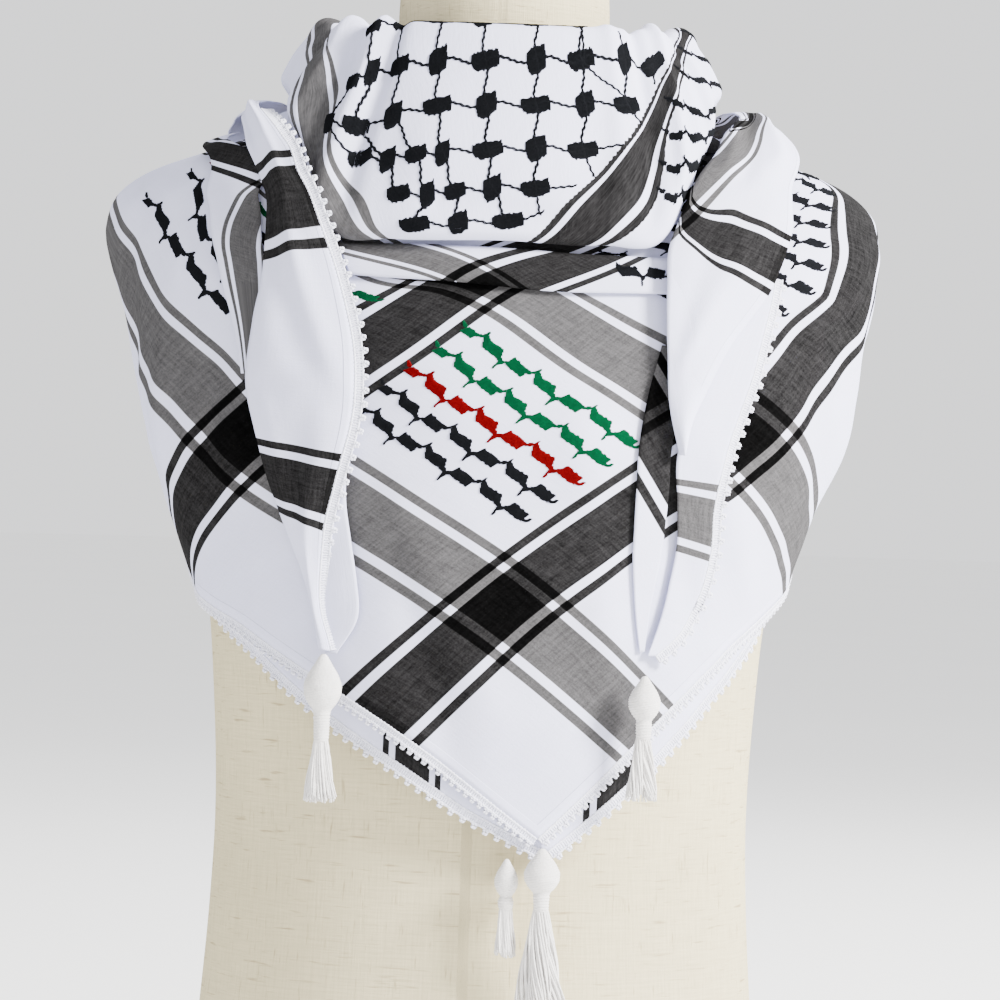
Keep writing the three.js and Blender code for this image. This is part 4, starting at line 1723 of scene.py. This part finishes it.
@dataclass
class Tassel:
    """Wound head over a bound neck and a skirt of threads."""

    name: str
    node: str
    x: float
    y: float
    top: float
    head_radius: float
    head_height: float
    neck_length: float
    skirt_radius: float
    length: float
    strands: int = 110
    bunches: int = 1
    seed: int = 1

    def head(self) -> Shape:
        """Surface of revolution: radius from a profile down the axis plus |sin| ribs."""
        neck = 3.9
        bottom = self.head_height
        shares = [(0.0, 0.10), (0.04, 0.22), (0.16, 0.42), (0.34, 0.78), (0.52, 1.0)]
        shares += [(0.7, 0.97), (0.86, 0.72), (0.96, 0.44)]
        down = [bottom * place for place, _ in shares]
        radii = [self.head_radius * size for _, size in shares]
        end = bottom + self.neck_length
        down += [bottom + 1.5, end, end + 2, end + 3]
        radii += [neck * 1.08, neck, neck * 0.8, 0.4]
        levels = np.linspace(0, down[-1], 120)
        radius = np.interp(levels, down, radii)
        radius[3:-3] = np.convolve(radius, np.ones(7) / 7, "valid")
        turn = np.arange(56) * 2 * math.pi / 56
        slant = levels[:, None] * 1.5 + turn[None] * 2.0
        wound = 0.42 * np.abs(np.sin(slant * 1.5))
        bound = 0.55 * np.abs(np.sin(levels[:, None] * 1.9 + 0.2 * np.sin(turn[None])))
        ribs = np.where((levels > bottom)[:, None], bound, wound)
        size = radius[:, None] + ribs * np.minimum(1, radius[:, None] / neck)
        grid = np.stack(
            [
                self.x + size * np.cos(turn),
                self.y + size * np.sin(turn) * 0.9,
                np.broadcast_to(self.top - levels[:, None], size.shape),
            ],
            2,
        ).reshape(-1, 3)
        count = len(turn)
        first = np.arange(count)[None]
        last = first[:, ::-1] + (len(levels) - 1) * count
        return Shape(grid, [grid_faces(len(levels), count, True)[:, ::-1], first, last])

    def skirt(self) -> Shape:
        """Threads that leave the neck together, spread in bunches and hang with a wave."""
        draw = np.random.default_rng(self.seed)
        count = self.strands
        t = np.linspace(0, 1, 12)[None]
        turn = draw.uniform(0, 2 * math.pi, (count, 1))
        reach = np.sqrt(draw.uniform(0.02, 1, (count, 1)))
        bunch = draw.integers(0, self.bunches, (count, 1))
        many = self.bunches > 1
        heading = 2 * math.pi * bunch / self.bunches + 0.5
        apart = self.skirt_radius * 0.62 * many
        spread = self.skirt_radius * (0.5 if many else 1.0)
        start = 3.3
        size = start + (spread - start) * t ** (0.8 if many else 1.1)
        rate, phase = draw.uniform(4, 9, (count, 1)), draw.uniform(0, 6, (count, 1))
        wave = 0.45 * np.sin(t * rate + phase)
        twist = turn + t * (2.4 if many else 0.5)
        off = size * reach + wave * t
        x = self.x + apart * np.cos(heading) * t + off * np.cos(twist)
        y = self.y + apart * 0.35 * np.sin(heading) * t + off * np.sin(twist) * 0.7
        above = self.head_height + self.neck_length
        drop = (self.length - above) * draw.uniform(0.88, 1.0, (count, 1))
        z = self.top - above + 2 - drop * t
        lumps = np.broadcast_to(0.62 + 0.1 * np.sin(t * 40), (count, 12))
        radii = lumps * np.linspace(1, 0.85, 12)
        return tubes(np.stack([x, y, z], 2), radii, 5)

    def build(self, material: bpy.types.Material) -> bpy.types.Object:
        """Head and skirt as one piece.

        Args:
            material: its finish.

        Returns:
            The new object.
        """
        made = make_object(self.name, join([self.head(), self.skirt()]), material)
        return place(made, "tassel", self.node)


# ---- dress form ----------------------------------------------------------------------


@dataclass
class DressForm:
    """Limbless linen form: oval sections, a rounded base edge and a flat neck cap."""

    around: int = 160
    rise: int = 220
    seam_width: float = 1.6
    seam_depth: float = 0.9
    seams: tuple[float, ...] = (-1.5, 90.0, 180.0, 270.0)

    def shape(self) -> Shape:
        """Sections W sin a, -D cos a, with grooves along the seams; the caps are fans."""
        top = FORM[-1, 0]
        middle = np.linspace(6, top - 4, self.rise)
        heights = np.concatenate([[0, 0.8, 2.5], middle, [top - 2, top - 0.6, top]])
        rounded = [0, 0.8, 2.5, top - 2.5, top - 0.6, top]
        inset = np.interp(heights, rounded, [2.4, 0.9, 0, 0, 0.8, 2.4])
        degrees = np.arange(self.around) * 360 / self.around - 1.5
        h, a = (g.ravel() for g in np.meshgrid(heights, degrees, indexing="ij"))
        points = oval(FORM, np.radians(a), h)
        away = unit(points * [1, 1, 0])
        sink = np.repeat(inset, self.around)
        for seam in self.seams:
            gap = np.abs((a - seam + 180) % 360 - 180) * 2.6
            sink = sink + self.seam_depth * np.exp(-((gap / self.seam_width) ** 2))
        points = points - away * sink[:, None]
        uv = np.stack([a * 2.6, h], 1)
        faces = [grid_faces(len(heights), self.around, True)]
        base, cap = len(points), len(points) + 1
        ring = np.arange(self.around)
        after = (ring + 1) % self.around
        last = (len(heights) - 1) * self.around
        faces.append(np.stack([np.full(self.around, base), ring, after], 1))
        faces.append(np.stack([np.full(self.around, cap), last + after, last + ring], 1))
        points = np.concatenate([points, [[0, 0, 0], [0, 0, top]]])
        uv = np.concatenate([uv, [[0, 0], [0, top]]])
        faces = [rows[:, ::-1] for rows in faces]
        return Shape(points, faces, uv)

    def build(self, material: bpy.types.Material) -> bpy.types.Object:
        """The form as one piece.

        Args:
            material: its finish.

        Returns:
            The new object.
        """
        return place(make_object("linen_form", self.shape(), material), "linen", "dress_form")


# ---- the scarf -----------------------------------------------------------------------


class Held(Enum):
    """How a sheet of cloth is held in its form."""

    DRAPED = "draped"
    FOLDED = "folded"
    HUNG = "hung"
    GATHERED = "gathered"


@dataclass(frozen=True)
class Sheet:
    """A stretch with the node it stands for and what it is cut from."""

    stretch: Stretch
    node: str
    flat: tuple[float, float]  # metres
    held: Held
    rests: str = "front_cloth"


ROLL_FRONT = roll("roll_front", -ROLL_JOIN + 0.2, ROLL_JOIN - 0.2)
ROLL_BACK = roll("roll_back", ROLL_JOIN, 360 - ROLL_JOIN)
SHEETS = [
    Sheet(FRONT, "front_drape", (0.56, 0.61), Held.DRAPED, "linen_form"),
    Sheet(LOWER, "under_layer", (0.06, 0.46), Held.DRAPED, "linen_form"),
    Sheet(TUCK, "tuck_fold", (0.021, 0.2), Held.FOLDED),
    Sheet(PLEAT, "shoulder_fold", (0.023, 0.235), Held.FOLDED),
    Sheet(LEFT_UNDER, "left_tail_under", (0.025, 0.47), Held.HUNG),
    Sheet(LEFT_TAIL, "left_tail", (0.05, 0.54), Held.HUNG),
    Sheet(RIGHT_UNDER, "right_tail_under", (0.018, 0.18), Held.HUNG),
    Sheet(BORDER, "right_tail_border", (0.024, 0.24), Held.HUNG),
    Sheet(RIGHT_TAIL, "right_tail", (0.06, 0.44), Held.HUNG),
    Sheet(ROLL_FRONT, "neck_roll_front", (0.16, 0.42), Held.GATHERED),
    Sheet(ROLL_BACK, "neck_roll_back", (0.1, 0.28), Held.GATHERED),
]


@dataclass
class Scarf:
    """All the cloth, lace, embroidery and tassels."""

    cotton: bpy.types.Material
    lace: bpy.types.Material
    thread: bpy.types.Material

    def cloth(self) -> None:
        """Builds the stretches and places each on the body."""
        for sheet in SHEETS:
            piece = place(sheet.stretch.build(self.cotton), "cotton", sheet.node)

    def embroidery(self) -> None:
        """Stitches every row and the net, one piece for each thread."""
        front = {yarn: Embroidery(FRONT, on_front) for yarn in Yarn}
        front_rows(front)
        ground = roll("ground", -ROLL_JOIN, ROLL_JOIN)
        rolled = {yarn: Embroidery(ground, on_roll) for yarn in Yarn}
        net_pattern(rolled[Yarn.BLACK])
        roll_rows(rolled)
        tucked = Embroidery(TUCK, on_tuck)
        tuck_row(tucked)
        for yarn in Yarn:
            name, colour = yarn.value
            finish = Thread(name, colour, varied=0.25).material()
            shapes = [work[yarn].shape() for work in (front, rolled) if work[yarn].ends]
            if yarn is Yarn.BLACK:
                shapes.append(tucked.shape())
            place(make_object(name, join(shapes), finish), "embroidery")

    def edging(self) -> None:
        """Lace along every hem that shows."""
        fine = np.linspace(0, 1, 500)
        none = 0 * fine
        halves = (fine * 4.98, 5.02 + fine * 4.98)
        hems = {
            "lace_drape_left": (FRONT, none, fine * 610, (none + 3, fine * 610)),
            "lace_drape_right": (FRONT, fine * 560, none, (fine * 560, none + 3)),
            "lace_under_left": (LOWER, none, halves[0], (none + 3, halves[0])),
            "lace_under_right": (LOWER, none, halves[1], (none + 3, halves[1])),
            "lace_left_tail": (LEFT_TAIL, none + 1, fine * 392, (none + 0.95, fine * 392)),
            "lace_right_tail": (BORDER, none + 1, fine * 255, (none + 0.95, fine * 255)),
        }
        for name, (cloth, u, v, inner) in hems.items():
            style = LaceEdge(5.0, 2.2, 7.2) if cloth is FRONT else LaceEdge()
            shape = style.shape(*hem_frame(cloth, u, v, inner))
            place(make_object(name + "_crochet", shape, self.lace), "lace", name)

    def tassels(self) -> None:
        """The four corner tassels: side, then Tassel's sizes from x to seed."""
        rows = [
            ("left", -91, -128, 318, 10.6, 33, 15, 9.5, 86, 130, 1, 3),
            ("right", 91, -129, 311, 8.8, 26, 8, 9, 73, 120, 2, 5),
            ("front", 36, -130, 212, 10.0, 26, 8, 15, 94, 150, 3, 7),
            ("rear", 16, -124, 205, 6.5, 22, 5, 6.5, 58, 70, 1, 9),
        ]
        for side, *sizes in rows:
            node = "tassel_" + side
            Tassel(node + "_threads", node, *sizes).build(self.thread)

    def build(self) -> None:
        """Everything in order."""
        self.cloth()
        self.edging()
        self.embroidery()
        self.tassels()


# ---- stage ---------------------------------------------------------------------------


@dataclass(frozen=True)
class Lamp:
    """A square area light turned to the chest."""

    name: str
    at: tuple[float, float, float]
    size: float
    power: float
    colour: Colour

    def build(self) -> None:
        """Adds the light and points it."""
        data = bpy.data.lights.new(self.name, "AREA")
        data.size = self.size
        data.energy = self.power
        data.color = self.colour
        lamp = bpy.data.objects.new(self.name, data)
        bpy.context.scene.collection.objects.link(lamp)
        lamp.location = self.at
        aim = Matrix.Translation((0, 0, 0.45)).translation - lamp.location
        lamp.rotation_euler = aim.to_track_quat("-Z", "Y").to_euler()


LAMPS = [
    Lamp("key", (2.3, -1.3, 1.7), 0.8, 430, (1.0, 0.985, 0.965)),
    Lamp("fill", (-1.8, -1.7, 1.0), 1.8, 5, (0.93, 0.96, 1.0)),
    Lamp("back", (0.9, 1.6, 2.0), 1.2, 60, (1.0, 1.0, 1.0)),
]


@dataclass(frozen=True)
class Studio:
    """Plain pale floor, soft lights and the camera."""

    eye: tuple[float, float, float] = (0.006, -2.2, 0.408)
    field_width: float = 0.6
    roll: float = math.atan(0.03)
    floor_radius: float = 30000.0  # mm
    floor_colour: Colour = (0.96, 0.96, 0.955)
    sky_colour: Colour = (0.98, 0.985, 1.0)
    sky_strength: float = 1.5

    def floor(self) -> None:
        """Flat disc of rings, radius growing by the square, just under the form's base."""
        radius = np.linspace(0.02, 1, 24) ** 2 * self.floor_radius
        turn = np.arange(64) * 2 * math.pi / 64
        r, a = (g.ravel() for g in np.meshgrid(radius, turn, indexing="ij"))
        rings = np.stack([r * np.cos(a), r * np.sin(a), np.full(len(r), -0.5)], 1)
        middle = np.arange(64)[None]
        g = Graph("pale_floor")
        at = g.node("TexCoord").outputs["Object"]
        tone = g.ramp(g.noise(at, 1.2, 1.0), 0.3, 0.7, 0.985, 1.0)
        material = g.finish(g.scaled(self.floor_colour, tone), Roughness=1.0)
        faces = [grid_faces(len(radius), 64, True), middle]
        floor = make_object("floor", Shape(rings, faces), material)

    def build(self) -> None:
        """Floor, world, lights and camera."""
        self.floor()
        world = bpy.data.worlds.new("studio")
        world.use_nodes = True
        sky = world.node_tree.nodes["Background"]
        sky.inputs[0].default_value = (*self.sky_colour, 1)
        sky.inputs[1].default_value = self.sky_strength
        bpy.context.scene.world = world
        for lamp in LAMPS:
            lamp.build()
        data = bpy.data.cameras.new("camera")
        data.angle = 2 * math.atan(self.field_width / 2 / -self.eye[1])
        camera = bpy.data.objects.new("camera", data)
        bpy.context.scene.collection.objects.link(camera)
        c, s = math.cos(self.roll), math.sin(self.roll)
        turn = Matrix(((c, -s, 0), (0, 0, -1), (s, c, 0)))
        camera.matrix_world = Matrix.Translation(self.eye) @ turn.to_4x4()
        bpy.context.scene.camera = camera


def main() -> None:
    """Builds the studio, the form and the scarf."""
    logging.basicConfig(level=logging.INFO, format="%(name)s: %(message)s")
    Studio().build()
    DressForm().build(SlubLinen().material())
    cotton = BandedCotton().material()
    lace = Thread("white_crochet", (0.76, 0.765, 0.87), fine=700, depth=0.0004).material()
    thread = Thread("off_white_thread", (0.72, 0.70, 0.68), fine=800, depth=0.0004).material()
    Scarf(cotton, lace, thread).build()
    bpy.context.view_layer.update()


if __name__ == "__main__":
    main()
